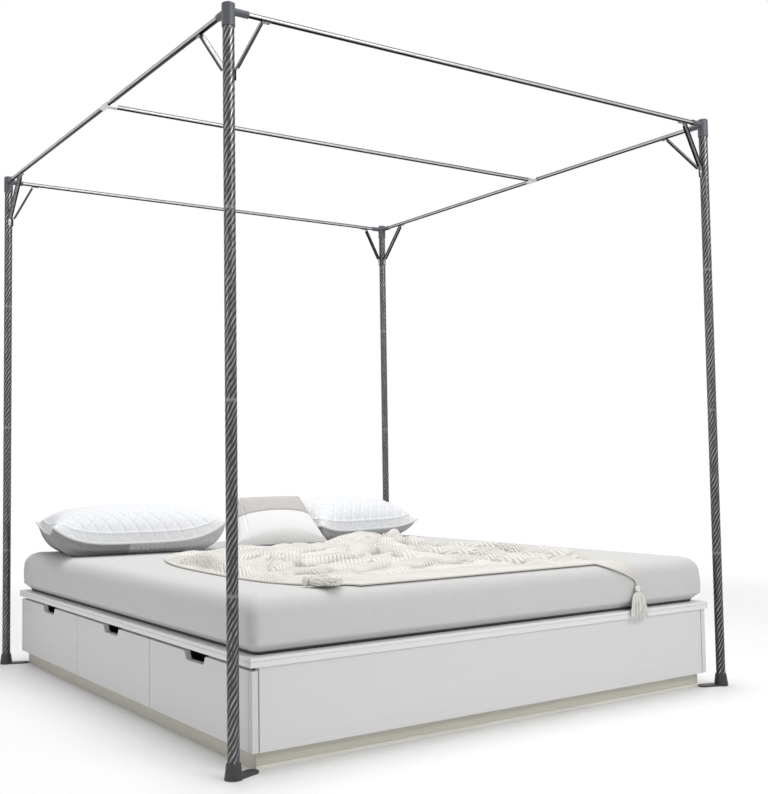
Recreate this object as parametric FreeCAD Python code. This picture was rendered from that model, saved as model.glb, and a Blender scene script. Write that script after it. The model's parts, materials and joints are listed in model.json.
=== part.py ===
import FreeCAD, Part
import math
import os

# A double storage bed under a tubular canopy frame, with its bedding.
# Millimetres, +Z up. The origin is on the floor under the middle of the bed.
# X runs across the foot end, Y from the foot end (front, -Y) to the head end (rear, +Y).

# Canopy frame
post_span_x = 1905.0
post_span_y = 2080.0
canopy_height = 2030.0
post_diameter = 32.0
post_wall = 1.0
first_joint_height = 465.0
post_piece_length = 507.0
post_joints = 3
joint_groove = 0.6
rail_diameter = 16.0
rail_wall = 1.0
rail_drop = 20.0
tube_clearance = 0.2
middle_bar_y = -125.0

# Moulded corner caps, tees and post shoes
cap_wall = 2.0
cap_height = 64.0
cap_roof = 4.0
cap_round = 3.0
socket_wall = 2.4
socket_reach = 58.0
rail_end_gap = 2.0
tee_wall = 2.2
tee_length = 62.0
tee_rail_gap = 2.0
tee_reach = 34.0
tee_bar_stop = 13.0
shoe_wall = 3.2
shoe_height = 42.0
shoe_floor = 5.0
shoe_lip = 4.0
shoe_flare = 5.0
shoe_plate_width = 40.0

# Pressed corner braces
brace_width = 18.0
brace_sheet = 1.6
brace_flange = 7.0
brace_tab = 28.0
brace_drop = 175.0
end_brace_reach = 112.0
side_brace_reach = 180.0
brace_seat = 0.2
flange_setback = 9.0

# Storage base
board_side_gap = 52.5
board_end_gap = 5.0
board_thickness = 25.0
board_top = 297.0
board_overhang = 8.0
edge_groove = 2.0
edge_groove_drop = 9.0
panel_thickness = 19.0
panel_rebate = 3.0
panel_rebate_depth = 8.0
plinth_height = 50.0
plinth_recess = 22.0
plinth_thickness = 18.0
plinth_seam_x = 494.0
seal_strip_height = 12.0
seal_strip_thickness = 2.0
divider_thickness = 18.0
divider_setback = 2.0

# Drawers
drawer_count = 3
drawer_top_gap = 10.0
drawer_seam = 3.0
drawer_board = 12.0
drawer_bottom = 6.0
drawer_depth = 620.0
drawer_back_gap = 23.0
drawer_box_height = 160.0
drawer_box_lift = 12.0
drawer_bottom_lift = 6.0
finger_width = 142.0
finger_taper = 13.0
finger_depth = 24.0
finger_round = 9.0
runner_space = 10.0
runner_setback = 6.0
runner_end_gap = 14.0
runner_height = 30.0
runner_sheet = 2.0
runner_depth = 9.0
runner_play = 0.4
runner_lift = 70.0

# Bedding
seat_gap = 0.3
mattress_side_inset = 5.0
mattress_end_inset = 7.0
mattress_height = 158.0
mattress_side_corner = 30.0
mattress_top_corner = 4.0
mattress_top_round = 60.0
mattress_round_steps = 3
mattress_foot_bevel = 28.0
pillow_depth = 430.0
pillow_piping_height = 46.0
pillow_draw_in = 0.10
pillow_gusset = 38.0
pillow_edge = 14.0
pillow_top_flat = 12.0
pillow_heel = 110.0
left_pillow_length = 690.0
left_pillow_crown = 150.0
left_pillow_ear_lift = 48.0
left_pillow_x = -543.0
left_pillow_from_head = 320.0
left_pillow_turn = -9.0
right_pillow_length = 600.0
right_pillow_crown = 138.0
right_pillow_ear_lift = 28.0
right_pillow_x = 490.0
right_pillow_from_head = 276.0
right_pillow_turn = 11.0
cushion_width = 372.0
cushion_taper = 0.12
cushion_height = 256.0
cushion_crown = 60.0
cushion_draw_in = 0.06
cushion_edge = 12.0
cushion_top_flat = 6.0
cushion_lean = 50.0
cushion_x = 22.0
cushion_from_head = 498.0
cushion_turn = -4.0
throw_thickness = 9.0
throw_from_foot = 44.0
throw_from_head = 628.0
throw_left_x = -712.0
throw_left_cut = 190.0
throw_left_cut_run = 170.0
throw_rear_cut = 240.0
throw_rear_cut_run = 430.0
throw_right_x = 345.0
throw_right_flare = 235.0
throw_folds = 6
throw_fold_height = 17.0
throw_fold_change = 0.5
throw_roll_height = 46.0
throw_roll_width = 150.0
throw_roll_straight = 300.0
throw_hem_height = 14.0
throw_hem_run = 300.0
corner_x = 545.0
corner_width = 112.0
corner_tip_width = 26.0
corner_drop = 16.0
corner_lap = 70.0
tassel_length = 116.0
tassel_knot = 24.0
tassel_neck = 14.0
tassel_width = 68.0
tassel_thickness = 17.0
tassel_end = 3.0
lying_tassel_x = -672.0
lying_tassel_from_foot = 113.0
lying_tassel_turn = -132.0

# Places worked out from the sizes above
post_x = post_span_x / 2.0
post_y = post_span_y / 2.0
post_radius = post_diameter / 2.0
rail_radius = rail_diameter / 2.0
rail_z = canopy_height - rail_drop
post_top = canopy_height - cap_roof
sleeve_bore = post_radius + tube_clearance
rail_bore = rail_radius + tube_clearance
cap_radius = sleeve_bore + cap_wall
rail_start = cap_radius + rail_end_gap
board_width = post_span_x - 2 * board_side_gap
board_length = post_span_y - 2 * board_end_gap
board_under = board_top - board_thickness
face_x = board_width / 2.0 - board_overhang
face_y = board_length / 2.0 - board_overhang
inner_x = face_x - panel_thickness
inner_y = face_y - panel_thickness
plinth_x = face_x - plinth_recess
plinth_y = face_y - plinth_recess
partition_left = drawer_depth + drawer_back_gap - inner_x
partition_right = partition_left + divider_thickness
runner_length = drawer_depth - runner_setback - runner_end_gap
drawer_pitch = 2.0 * inner_y / drawer_count
drawer_face_top = board_under - drawer_top_gap
bed_top = board_top + seat_gap + mattress_height
mattress_width = board_width - 2 * mattress_side_inset
mattress_length = board_length - 2 * mattress_end_inset
mattress_foot_y = -mattress_length / 2.0
mattress_head_y = mattress_length / 2.0
throw_hem_y = mattress_foot_y + throw_from_foot
throw_rear_y = mattress_head_y - throw_from_head

corners = {"front_left": (-1, -1), "front_right": (1, -1),
           "rear_left": (-1, 1), "rear_right": (1, 1)}
bay_names = ["front", "middle", "rear"]
pick_tolerance = 0.1


def vec(x, y, z):
    return FreeCAD.Vector(x, y, z)


def save(name, *solids):
    """One STEP file for one node, from one solid or a group of separate solids."""
    shape = solids[0] if len(solids) == 1 else Part.makeCompound(list(solids))
    shape.exportStep("parts/" + name + ".step")


def block(x0, x1, y0, y1, z0, z1):
    return Part.makeBox(x1 - x0, y1 - y0, z1 - z0, vec(x0, y0, z0))


def rod(radius, start, end):
    along = end.sub(start)
    return Part.makeCylinder(radius, along.Length, start, along)


def tube(radius, wall, start, end):
    return rod(radius, start, end).cut(rod(radius - wall, start, end))


def polygon_face(points):
    return Part.Face(Part.makePolygon(points + [points[0]]))


def revolve(profile, x, y):
    """Turn a closed list of (radius, height) points about a vertical axis at x, y."""
    face = polygon_face([vec(x + r, y, z) for r, z in profile])
    return face.revolve(vec(x, y, 0), vec(0, 0, 1), 360)


def section(points, bulges):
    """A closed wire through points. A bulge is the middle point of an arc, or None for a line."""
    edges = []
    for i, start in enumerate(points):
        end = points[(i + 1) % len(points)]
        if bulges[i] is None:
            edges.append(Part.makeLine(start, end))
        else:
            edges.append(Part.Arc(start, bulges[i], end).toShape())
    return Part.Wire(edges)


def post(sx, sy):
    """A post of equal tube lengths, with a fine V groove where one stands on the next."""
    inner = post_radius - post_wall
    root = post_radius - joint_groove
    joints = [first_joint_height + i * post_piece_length for i in range(post_joints)]
    outline = [(inner, post_top), (inner, shoe_floor), (post_radius, shoe_floor)]
    for z in joints:
        outline += [(post_radius, z - joint_groove), (root, z), (post_radius, z + joint_groove)]
    return revolve(outline + [(post_radius, post_top)], sx * post_x, sy * post_y)


def corner_cap(sx, sy):
    """A moulded three-way cap: a sleeve over the post and a socket for each rail."""
    x, y = sx * post_x, sy * post_y
    bottom = canopy_height - cap_height
    sleeve = revolve([(0, bottom), (cap_radius, bottom), (cap_radius, canopy_height - cap_round),
                      (cap_radius - cap_round, canopy_height), (0, canopy_height)], x, y)
    middle = vec(x, y, rail_z)
    body = sleeve
    bores = [rod(sleeve_bore, vec(x, y, bottom), vec(x, y, post_top))]
    for way in (vec(-sx, 0, 0), vec(0, -sy, 0)):
        mouth = middle + way * socket_reach
        body = body.fuse(rod(rail_bore + socket_wall, middle, mouth))
        bores.append(rod(rail_bore, middle + way * (rail_start - rail_end_gap / 2.0), mouth))
    for bore in bores:
        body = body.cut(bore)
    return body.removeSplitter()


def post_shoe(sx, sy):
    """A moulded shoe: a sleeve that flares to the floor, on a plate that seats at the plinth's corner."""
    x, y = sx * post_x, sy * post_y
    to_x = post_x - plinth_x
    to_y = post_y - plinth_y - (seal_strip_thickness if sy < 0 else 0.0)
    reach = math.hypot(to_x, to_y) - seat_gap
    outer = sleeve_bore + shoe_wall
    sleeve = revolve([(0, 0), (outer + shoe_flare, 0), (outer, shoe_height - shoe_lip),
                      (outer - shoe_wall / 2.0, shoe_height), (0, shoe_height)], x, y)
    half = shoe_plate_width / 2.0
    plate = block(0, reach - half, -half, half, 0, shoe_floor)
    plate = plate.fuse(Part.makeCylinder(half, shoe_floor, vec(reach - half, 0, 0)))
    plate.rotate(vec(0, 0, 0), vec(0, 0, 1), math.degrees(math.atan2(-sy * to_y, -sx * to_x)))
    plate.translate(vec(x, y, 0))
    bore = rod(sleeve_bore, vec(x, y, shoe_floor), vec(x, y, shoe_height))
    return sleeve.fuse(plate).cut(bore).removeSplitter()


def end_rail(sy):
    """A rail across one end, from corner cap to corner cap."""
    start = vec(rail_start - post_x, sy * post_y, rail_z)
    end = vec(post_x - rail_start, sy * post_y, rail_z)
    return tube(rail_radius, rail_wall, start, end)


def side_rail(sx, sy):
    """Half of a side rail, from a corner cap to the tee that carries the middle bar."""
    start = vec(sx * post_x, sy * (post_y - rail_start), rail_z)
    end = vec(sx * post_x, middle_bar_y + sy * tee_rail_gap, rail_z)
    return tube(rail_radius, rail_wall, start, end)


def middle_bar():
    reach = post_x - tee_bar_stop
    return tube(rail_radius, rail_wall, vec(-reach, middle_bar_y, rail_z),
                vec(reach, middle_bar_y, rail_z))


def tee(sx):
    """A sleeve that joins two half rails, with a branch for the middle bar."""
    radius = rail_bore + tee_wall
    middle = vec(sx * post_x, middle_bar_y, rail_z)
    half = vec(0, tee_length / 2.0, 0)
    branch = middle + vec(-sx * tee_reach, 0, 0)
    body = rod(radius, middle - half, middle + half).fuse(rod(radius, middle, branch))
    for bore in (rod(rail_bore, middle - half, middle + half),
                 rod(rail_bore, middle + vec(-sx * (tee_bar_stop - rail_end_gap), 0, 0), branch)):
        body = body.cut(bore)
    return body


def brace_point(sx, sy, along, u, w, v=0.0):
    """A point u inward from the post axis along a rail, w above the rail axis, v to the side."""
    if along == "x":
        return vec(sx * (post_x - u), sy * post_y + v, rail_z + w)
    return vec(sx * post_x + v, sy * (post_y - u), rail_z + w)


def brace_side(along, distance):
    return vec(0, distance, 0) if along == "x" else vec(distance, 0, 0)


def brace_reach(along):
    return end_brace_reach if along == "x" else side_brace_reach


def brace_line(along):
    """The brace's outer line in its plane: up the post, across the corner, out along the rail."""
    near = post_radius + brace_seat
    under = -rail_radius - brace_seat
    reach = brace_reach(along)
    half = brace_tab / 2.0
    return [(near, -brace_drop - half), (near, -brace_drop + half),
            (reach - half, under), (reach + half, under)]


def offset_line(line, distance):
    """The same line moved sideways by a distance, with its corners mitred."""
    moved = []
    for i, (u, w) in enumerate(line):
        ahead = line[min(i + 1, len(line) - 1)]
        behind = line[max(i - 1, 0)]
        a1 = math.atan2(ahead[1] - w, ahead[0] - u) if i + 1 < len(line) else None
        a0 = math.atan2(w - behind[1], u - behind[0]) if i > 0 else a1
        a1 = a0 if a1 is None else a1
        middle = (a0 + a1) / 2.0
        stretch = distance / math.cos((a1 - a0) / 2.0)
        moved.append((u + stretch * math.sin(middle), w - stretch * math.cos(middle)))
    return moved


def brace(sx, sy, along):
    """A pressed strip across the corner: a flat tab at each end and a channel between them."""
    line = brace_line(along)
    half = brace_width / 2.0
    outline = line + offset_line(line, brace_sheet)[::-1]
    strip = polygon_face([brace_point(sx, sy, along, u, w, -half) for u, w in outline])
    body = strip.extrude(brace_side(along, brace_width))
    (u0, w0), (u1, w1) = line[1], line[2]
    share = flange_setback / math.hypot(u1 - u0, w1 - w0)
    run = [(u0 + share * (u1 - u0), w0 + share * (w1 - w0)),
           (u1 - share * (u1 - u0), w1 - share * (w1 - w0))]
    skirt = run + offset_line(run, brace_flange)[::-1]
    for v in (-half, half - brace_sheet):
        side = polygon_face([brace_point(sx, sy, along, u, w, v) for u, w in skirt])
        body = body.fuse(side.extrude(brace_side(along, brace_sheet)))
    return body.removeSplitter()


def make_canopy():
    for name, (sx, sy) in corners.items():
        save("post_" + name, post(sx, sy))
        save("brace_" + name + "_end", brace(sx, sy, "x"))
        save("brace_" + name + "_side", brace(sx, sy, "y"))
    save("corner_caps", *[corner_cap(sx, sy) for sx, sy in corners.values()])
    save("post_shoes", *[post_shoe(sx, sy) for sx, sy in corners.values()])
    for end, sy in (("front", -1), ("rear", 1)):
        save(end + "_rail", end_rail(sy))
        for side, sx in (("left", -1), ("right", 1)):
            save(side + "_rail_" + end, side_rail(sx, sy))
    save("middle_bar", middle_bar())
    save("middle_bar_tees", tee(-1), tee(1))


def platform_boards():
    """The top board, with a fine groove round its edge, cut in three over the dividers."""
    x, y = board_width / 2.0, board_length / 2.0
    board = block(-x, x, -y, y, board_under, board_top)
    low = board_top - edge_groove_drop - edge_groove
    ring = block(-x, x, -y, y, low, low + edge_groove)
    core = block(edge_groove - x, x - edge_groove, edge_groove - y, y - edge_groove, low, low + edge_groove)
    board = board.cut(ring.cut(core))
    cuts = [-y, -drawer_pitch / 2.0, drawer_pitch / 2.0, y]
    return [board.common(block(-x, x, a, b, board_under, board_top)) for a, b in zip(cuts[:-1], cuts[1:])]


def end_panel(sy):
    """The panel at the foot or head end, with a rebate that draws a line beside each corner."""
    ys = sorted((sy * inner_y, sy * face_y))
    panel = block(-inner_x, inner_x, ys[0], ys[1], plinth_height, board_under)
    deep = sorted((sy * face_y, sy * (face_y - panel_rebate_depth)))
    for sx in (-1, 1):
        xs = sorted((sx * inner_x, sx * (inner_x - panel_rebate)))
        panel = panel.cut(block(xs[0], xs[1], deep[0], deep[1], plinth_height, board_under))
    return panel


def stile(sy):
    """The fixed strip between a drawer front and the end of the bed, beside the post."""
    ys = sorted((sy * inner_y, sy * face_y))
    return block(-face_x, -inner_x, ys[0], ys[1], plinth_height, drawer_face_top)


def partition():
    """The board behind the drawers. It stands on the floor and clears the plinth at both ends."""
    low = plinth_y - plinth_thickness
    body = block(partition_left, partition_right, -inner_y, inner_y, plinth_height, board_under)
    return body.fuse(block(partition_left, partition_right, -low, low, 0, plinth_height)).removeSplitter()


def divider_y(index):
    return (index - 0.5) * drawer_pitch


def cross_board(x0, x1, index):
    half = divider_thickness / 2.0
    y = divider_y(index)
    return block(x0, x1, y - half, y + half, plinth_height, board_under)


def make_base():
    for name, board in zip(bay_names, platform_boards()):
        save("platform_" + name, board)
    save("foot_panel", end_panel(-1))
    save("head_panel", end_panel(1))
    save("right_side_panel", block(inner_x, face_x, -face_y, face_y, plinth_height, board_under))
    save("corner_stiles", stile(-1), stile(1))
    save("partition", partition())
    for index, name in enumerate(("front", "rear")):
        save("divider_" + name, cross_board(divider_setback - inner_x, partition_left, index))
    save("right_bearers", *[cross_board(partition_right, inner_x, index) for index in (0, 1)])
    low = plinth_y - plinth_thickness
    side = plinth_x - plinth_thickness
    save("plinth_foot_long", block(-plinth_x, plinth_seam_x, -plinth_y, -low, 0, plinth_height))
    save("plinth_foot_short", block(plinth_seam_x, plinth_x, -plinth_y, -low, 0, plinth_height))
    save("plinth_head", block(-plinth_x, plinth_x, low, plinth_y, 0, plinth_height))
    save("plinth_left", block(-plinth_x, -side, -low, low, 0, plinth_height))
    save("plinth_right", block(side, plinth_x, -low, low, 0, plinth_height))
    save("plinth_seal_strip", block(-plinth_x, plinth_x, -plinth_y - seal_strip_thickness, -plinth_y,
                                    0, seal_strip_height))


def bay_walls(index):
    """Inner faces of the boards on the two sides of a drawer bay."""
    half = divider_thickness / 2.0
    low = -inner_y if index == 0 else divider_y(index - 1) + half
    high = inner_y if index == drawer_count - 1 else divider_y(index) - half
    return low, high


def finger_notch(middle):
    """A tapered notch in the front's top edge, with rounded lower corners."""
    top = finger_width / 2.0
    low = top - finger_taper
    floor = drawer_face_top - finger_depth
    over = drawer_face_top + drawer_top_gap
    x = -face_x
    face = polygon_face([vec(x, middle - top, over), vec(x, middle - top, drawer_face_top),
                         vec(x, middle - low, floor), vec(x, middle + low, floor),
                         vec(x, middle + top, drawer_face_top), vec(x, middle + top, over)])
    notch = face.extrude(vec(panel_thickness, 0, 0))
    rounded = [edge for edge in notch.Edges
               if edge.BoundBox.ZMax < floor + pick_tolerance and edge.BoundBox.YLength < pick_tolerance]
    return notch.makeFillet(finger_round, rounded)


def drawer_face(index):
    middle = (index - (drawer_count - 1) / 2.0) * drawer_pitch
    half = (drawer_pitch - drawer_seam) / 2.0
    face = block(-face_x, -inner_x, middle - half, middle + half, plinth_height, drawer_face_top)
    return face.cut(finger_notch(middle))


def drawer_box(index):
    """The boards of a drawer box and the two runner bars screwed to its sides."""
    wall_low, wall_high = bay_walls(index)
    y0, y1 = wall_low + runner_space, wall_high - runner_space
    x0, x1 = -inner_x, drawer_depth - inner_x
    z0 = plinth_height + drawer_box_lift
    z1 = z0 + drawer_box_height
    t = drawer_board
    floor = z0 + drawer_bottom_lift
    boards = [block(x0, x1, y0, y0 + t, z0, z1), block(x0, x1, y1 - t, y1, z0, z1),
              block(x0, x0 + t, y0 + t, y1 - t, z0, z1), block(x1 - t, x1, y0 + t, y1 - t, z0, z1),
              block(x0 + t, x1 - t, y0 + t, y1 - t, floor, floor + drawer_bottom)]
    bar_half = runner_height / 2.0 - runner_sheet - runner_play
    middle = plinth_height + runner_lift
    start = runner_setback - inner_x
    bar_gap = runner_sheet + runner_play
    for a, b in ((wall_low + bar_gap, y0), (y1, wall_high - bar_gap)):
        boards.append(block(start, start + runner_length, a, b, middle - bar_half, middle + bar_half))
    return boards


def cabinet_runner(wall, inward):
    """A channel screwed to the side of a bay. The drawer's runner bar slides in it."""
    start = runner_setback - inner_x
    half = runner_height / 2.0
    middle = plinth_height + runner_lift
    edge = wall + inward * runner_depth
    ys = sorted((wall, edge))
    channel = block(start, start + runner_length, ys[0], ys[1], middle - half, middle + half)
    hollow = sorted((wall + inward * runner_sheet, edge))
    inside = half - runner_sheet
    return channel.cut(block(start, start + runner_length, hollow[0], hollow[1],
                             middle - inside, middle + inside))


def make_drawers():
    runners = []
    for index, name in enumerate(bay_names):
        save("drawer_" + name + "_face", drawer_face(index))
        save("drawer_" + name + "_box", *drawer_box(index))
        low, high = bay_walls(index)
        runners += [cabinet_runner(low, 1), cabinet_runner(high, -1)]
    save("cabinet_runners", *runners)


def mattress_section(inset, z):
    """A rectangle drawn in from the mattress's sides by an inset. Its round corners tighten towards the top."""
    x, y = mattress_width / 2.0 - inset, mattress_length / 2.0 - inset
    share = 1.0 - inset / mattress_top_round
    radius = mattress_top_corner + (mattress_side_corner - mattress_top_corner) * share
    points, bulges = [], []
    for sx, sy in ((1, -1), (1, 1), (-1, 1), (-1, -1)):
        centre = vec(sx * (x - radius), sy * (y - radius), z)
        along, out = vec(sx * radius, 0, 0), vec(0, sy * radius, 0)
        points += [centre + out, centre + along] if sx != sy else [centre + along, centre + out]
        bulges += [centre + (along + out) * math.sqrt(0.5), None]
    return section(points, bulges)


def mattress():
    """A block with round upright corners, a soft top edge and a bevelled lower edge, built up in levels."""
    low = board_top + seat_gap
    levels = [(mattress_foot_bevel, low), (0.0, low + mattress_foot_bevel)]
    for i in range(mattress_round_steps + 1):
        turn = math.pi / 2.0 * i / mattress_round_steps
        levels.append((mattress_top_round * (1.0 - math.cos(turn)),
                       bed_top - mattress_top_round * (1.0 - math.sin(turn))))
    return Part.makeLoft([mattress_section(inset, z) for inset, z in levels], True, True)


def slab(wire, way):
    """A flat outline pushed out by the same distance to both sides."""
    face = Part.Face(wire)
    face.translate(way * -1)
    return face.extrude(way * 2)


def pillow(x, from_head, turn, length, crown, ear_lift):
    """A gusseted pillow: a crowned cross-section meets a side profile with lifted ends and a waisted plan."""
    half, reach = length / 2.0, pillow_depth / 2.0
    foot = reach - pillow_gusset
    heel = half - pillow_heel
    ear = pillow_piping_height + ear_lift
    top = pillow_piping_height + crown
    waist = reach * (1.0 - pillow_draw_in)
    across = section([vec(0, -foot, 0), vec(0, foot, 0),
                      vec(0, reach, pillow_piping_height), vec(0, -reach, pillow_piping_height)],
                     [None, None, vec(0, 0, top + pillow_top_flat), None])
    side = section([vec(-heel, 0, 0), vec(heel, 0, 0), vec(half, 0, ear - pillow_edge),
                    vec(half, 0, ear + pillow_edge), vec(-half, 0, ear + pillow_edge),
                    vec(-half, 0, ear - pillow_edge)], [None, None, None, vec(0, 0, top), None, None])
    plan = section([vec(-half, -reach, 0), vec(half, -reach, 0), vec(half, reach, 0), vec(-half, reach, 0)],
                   [vec(0, -waist, 0), None, vec(0, waist, 0), None])
    body = slab(across, vec(length, 0, 0)).common(slab(side, vec(0, pillow_depth, 0)))
    body = body.common(slab(plan, vec(0, 0, 2 * top)))
    body.rotate(vec(0, 0, 0), vec(0, 0, 1), turn)
    body.translate(vec(x, mattress_head_y - from_head, bed_top + seat_gap))
    return body


def lens_outline(half, crown, edge, place):
    """Two shallow arcs that meet in a thin edge. place turns (distance, height) into a point."""
    return section([place(-half, -edge), place(half, -edge), place(half, edge), place(-half, edge)],
                   [place(0, -crown), None, place(0, crown), None])


def cushion():
    """The scatter cushion: two crossed lens profiles in a tapered, drawn-in plan.

    It stands on its lower edge and leans back between the two pillows.
    """
    wide = cushion_width / 2.0 * (1.0 + cushion_taper)
    narrow = cushion_width / 2.0 * (1.0 - cushion_taper)
    reach = cushion_height / 2.0
    waist = cushion_width / 2.0 * (1.0 - cushion_draw_in)
    hollow = reach * (1.0 - cushion_draw_in)
    seam = cushion_edge / 2.0
    across = lens_outline(wide, cushion_crown + cushion_top_flat, seam, lambda d, h: vec(d, 0, h))
    upright = lens_outline(reach, cushion_crown, seam, lambda d, h: vec(0, d, h))
    plan = section([vec(-wide, -reach, 0), vec(wide, -reach, 0),
                    vec(narrow, reach, 0), vec(-narrow, reach, 0)],
                   [vec(0, -hollow, 0), vec(waist, 0, 0), vec(0, hollow, 0), vec(-waist, 0, 0)])
    body = slab(across, vec(0, cushion_height, 0)).common(slab(upright, vec(cushion_width, 0, 0)))
    body = body.common(slab(plan, vec(0, 0, 2 * cushion_crown)))
    body.rotate(vec(0, 0, 0), vec(1, 0, 0), cushion_lean)
    body.rotate(vec(0, 0, 0), vec(0, 0, 1), cushion_turn)
    lowest = body.optimalBoundingBox().ZMin
    body.translate(vec(cushion_x, mattress_head_y - cushion_from_head, bed_top + seat_gap - lowest))
    return body


def throw_edge():
    """Centre and radius of the arc that the throw's right edge follows, drawn in at the middle."""
    half = (throw_rear_y - throw_hem_y) / 2.0
    radius = (half ** 2 + throw_right_flare ** 2) / (2.0 * throw_right_flare)
    return vec(throw_right_x + radius, throw_hem_y + half, bed_top + seat_gap), radius, half


def throw_roll():
    """The fat roll along the throw's right edge, in straight lengths that follow the edge's arc."""
    centre, radius, half = throw_edge()
    sweep = 2.0 * math.asin(half / radius)
    count = math.ceil(radius * sweep / throw_roll_straight)
    step = sweep / count
    long = (radius + throw_roll_width) * math.tan(step / 2.0)
    edge = centre - vec(radius, 0, 0)
    inside = edge - vec(throw_roll_width, 0, 0)
    crown = edge + vec(-throw_roll_width / 2.0, 0, throw_thickness + throw_roll_height)
    lengths = []
    for i in range(count):
        length = slab(section([inside, edge], [None, crown]), vec(0, long, 0))
        turn = (i - (count - 1) / 2.0) * step
        length.rotate(centre, vec(0, 0, 1), math.degrees(turn))
        lengths.append(length)
    return lengths[0].fuse(lengths[1:])


def throw_spread():
    """The flat of the throw: shallow folds along the bed, cut to its outline. It ends under the roll."""
    centre, radius, half = throw_edge()
    reach = radius + throw_roll_width / 2.0
    waist = centre.x - reach
    right = centre.x - math.sqrt(reach ** 2 - half ** 2)
    low = centre.z
    top = low + throw_thickness
    xs = [throw_left_x + (right - throw_left_x) * i / throw_folds for i in range(throw_folds + 1)]
    points = [vec(right, centre.y, low), vec(throw_left_x, centre.y, low)]
    points += [vec(x, centre.y, top) for x in xs]
    bulges = [None, None]
    for i, (a, b) in enumerate(zip(xs[:-1], xs[1:])):
        swell = throw_fold_height * (1.0 - throw_fold_change * math.sin(1.9 * i) ** 2)
        bulges.append(vec((a + b) / 2.0, centre.y, top + swell))
    folds = slab(section(points, bulges + [None]), vec(0, half, 0))
    outline = section([vec(throw_left_x + throw_left_cut, throw_hem_y, low), vec(right, throw_hem_y, low),
                       vec(right, throw_rear_y, low), vec(throw_left_x + throw_rear_cut, throw_rear_y, low),
                       vec(throw_left_x, throw_rear_y - throw_rear_cut_run, low),
                       vec(throw_left_x, throw_hem_y + throw_left_cut_run, low)],
                      [None, vec(waist, centre.y, low), None, None, None, None])
    return folds.common(slab(outline, vec(0, 0, throw_thickness + throw_fold_height + pick_tolerance)))


def throw_corner():
    """The corner of the throw that hangs over the mattress edge, narrowing to its tassel."""
    gap = seat_gap
    far = mattress_foot_y + mattress_top_round
    edge_z = bed_top - mattress_top_round
    tip = edge_z - corner_drop

    def skin(offset):
        radius = mattress_top_round + offset
        slope = radius * math.sqrt(0.5)
        return (vec(0, far + corner_lap, bed_top + offset), vec(0, far, bed_top + offset),
                vec(0, far - slope, edge_z + slope), vec(0, far - radius, edge_z), vec(0, far - radius, tip))

    a, b = skin(gap), skin(gap + throw_thickness)
    profile = Part.Wire([Part.makeLine(a[0], a[1]), Part.Arc(a[1], a[2], a[3]).toShape(),
                         Part.makeLine(a[3], a[4]), Part.makeLine(a[4], b[4]), Part.makeLine(b[4], b[3]),
                         Part.Arc(b[3], b[2], b[1]).toShape(), Part.makeLine(b[1], b[0]),
                         Part.makeLine(b[0], a[0])])
    body = Part.Face(profile).extrude(vec(corner_width, 0, 0))
    body.translate(vec(corner_x - corner_width / 2.0, 0, 0))
    wide, narrow = corner_width / 2.0, corner_tip_width / 2.0
    y0 = far - 2.0 * mattress_top_round
    mask = polygon_face([vec(corner_x - wide, y0, bed_top + 2 * throw_thickness),
                         vec(corner_x - wide, y0, edge_z), vec(corner_x - narrow, y0, tip),
                         vec(corner_x + narrow, y0, tip), vec(corner_x + wide, y0, edge_z),
                         vec(corner_x + wide, y0, bed_top + 2 * throw_thickness)])
    return body.common(mask.extrude(vec(0, 2.0 * mattress_top_round + corner_lap, 0)))


def throw():
    """The folds and the roll, flattened towards the hem, with the hanging corner."""
    low = bed_top + seat_gap
    high = low + throw_thickness + throw_roll_height + pick_tolerance
    x = throw_left_x
    slope = polygon_face([vec(x, throw_hem_y, low), vec(x, throw_rear_y, low), vec(x, throw_rear_y, high),
                          vec(x, throw_hem_y + throw_hem_run, high),
                          vec(x, throw_hem_y, low + throw_hem_height)])
    width = throw_right_x + throw_right_flare - throw_left_x
    body = throw_spread().fuse(throw_roll()).common(slope.extrude(vec(width, 0, 0)))
    return body.fuse(throw_corner()).removeSplitter()


def tassel():
    """A tied tassel hanging from z = 0, a knot over a spreading skirt: two outlines that meet."""
    neck = tassel_neck / 2.0
    knot = tassel_knot / 2.0
    wide = tassel_width / 2.0
    thick = tassel_thickness / 2.0
    thin = tassel_end / 2.0
    belly = -(tassel_knot + tassel_length) / 2.0
    tie, end = -tassel_knot, -tassel_length
    front = section([vec(-neck, 0, 0), vec(neck, 0, 0), vec(neck, 0, tie), vec(wide, 0, end),
                     vec(-wide, 0, end), vec(-neck, 0, tie)],
                    [None, vec(knot, 0, -knot), None, None, None, vec(-knot, 0, -knot)])
    side = section([vec(0, -neck, 0), vec(0, neck, 0), vec(0, neck, tie), vec(0, thin, end),
                    vec(0, -thin, end), vec(0, -neck, tie)],
                   [None, vec(0, thick, -knot), vec(0, thick, belly), None,
                    vec(0, -thick, belly), vec(0, -thick, -knot)])
    return slab(front, vec(0, tassel_thickness, 0)).common(slab(side, vec(tassel_width, 0, 0)))


def tassels():
    """One tassel hangs from the throw's corner, out over the board's edge, and one lies on the mattress."""
    top = vec(corner_x, mattress_foot_y - seat_gap - tassel_thickness / 2.0,
              bed_top - mattress_top_round - corner_drop - seat_gap)
    out = board_length / 2.0 + seat_gap + tassel_thickness / 2.0 + top.y
    hanging = tassel()
    hanging.rotate(vec(0, 0, 0), vec(1, 0, 0), -math.degrees(math.atan2(out, top.z - board_top)))
    hanging.translate(top)
    lying = tassel()
    lying.rotate(vec(0, 0, 0), vec(1, 0, 0), 90)
    lying.rotate(vec(0, 0, 0), vec(0, 0, 1), lying_tassel_turn)
    lowest = lying.optimalBoundingBox().ZMin
    lying.translate(vec(lying_tassel_x, mattress_foot_y + lying_tassel_from_foot,
                        bed_top + seat_gap - lowest))
    return [hanging, lying]


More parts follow.
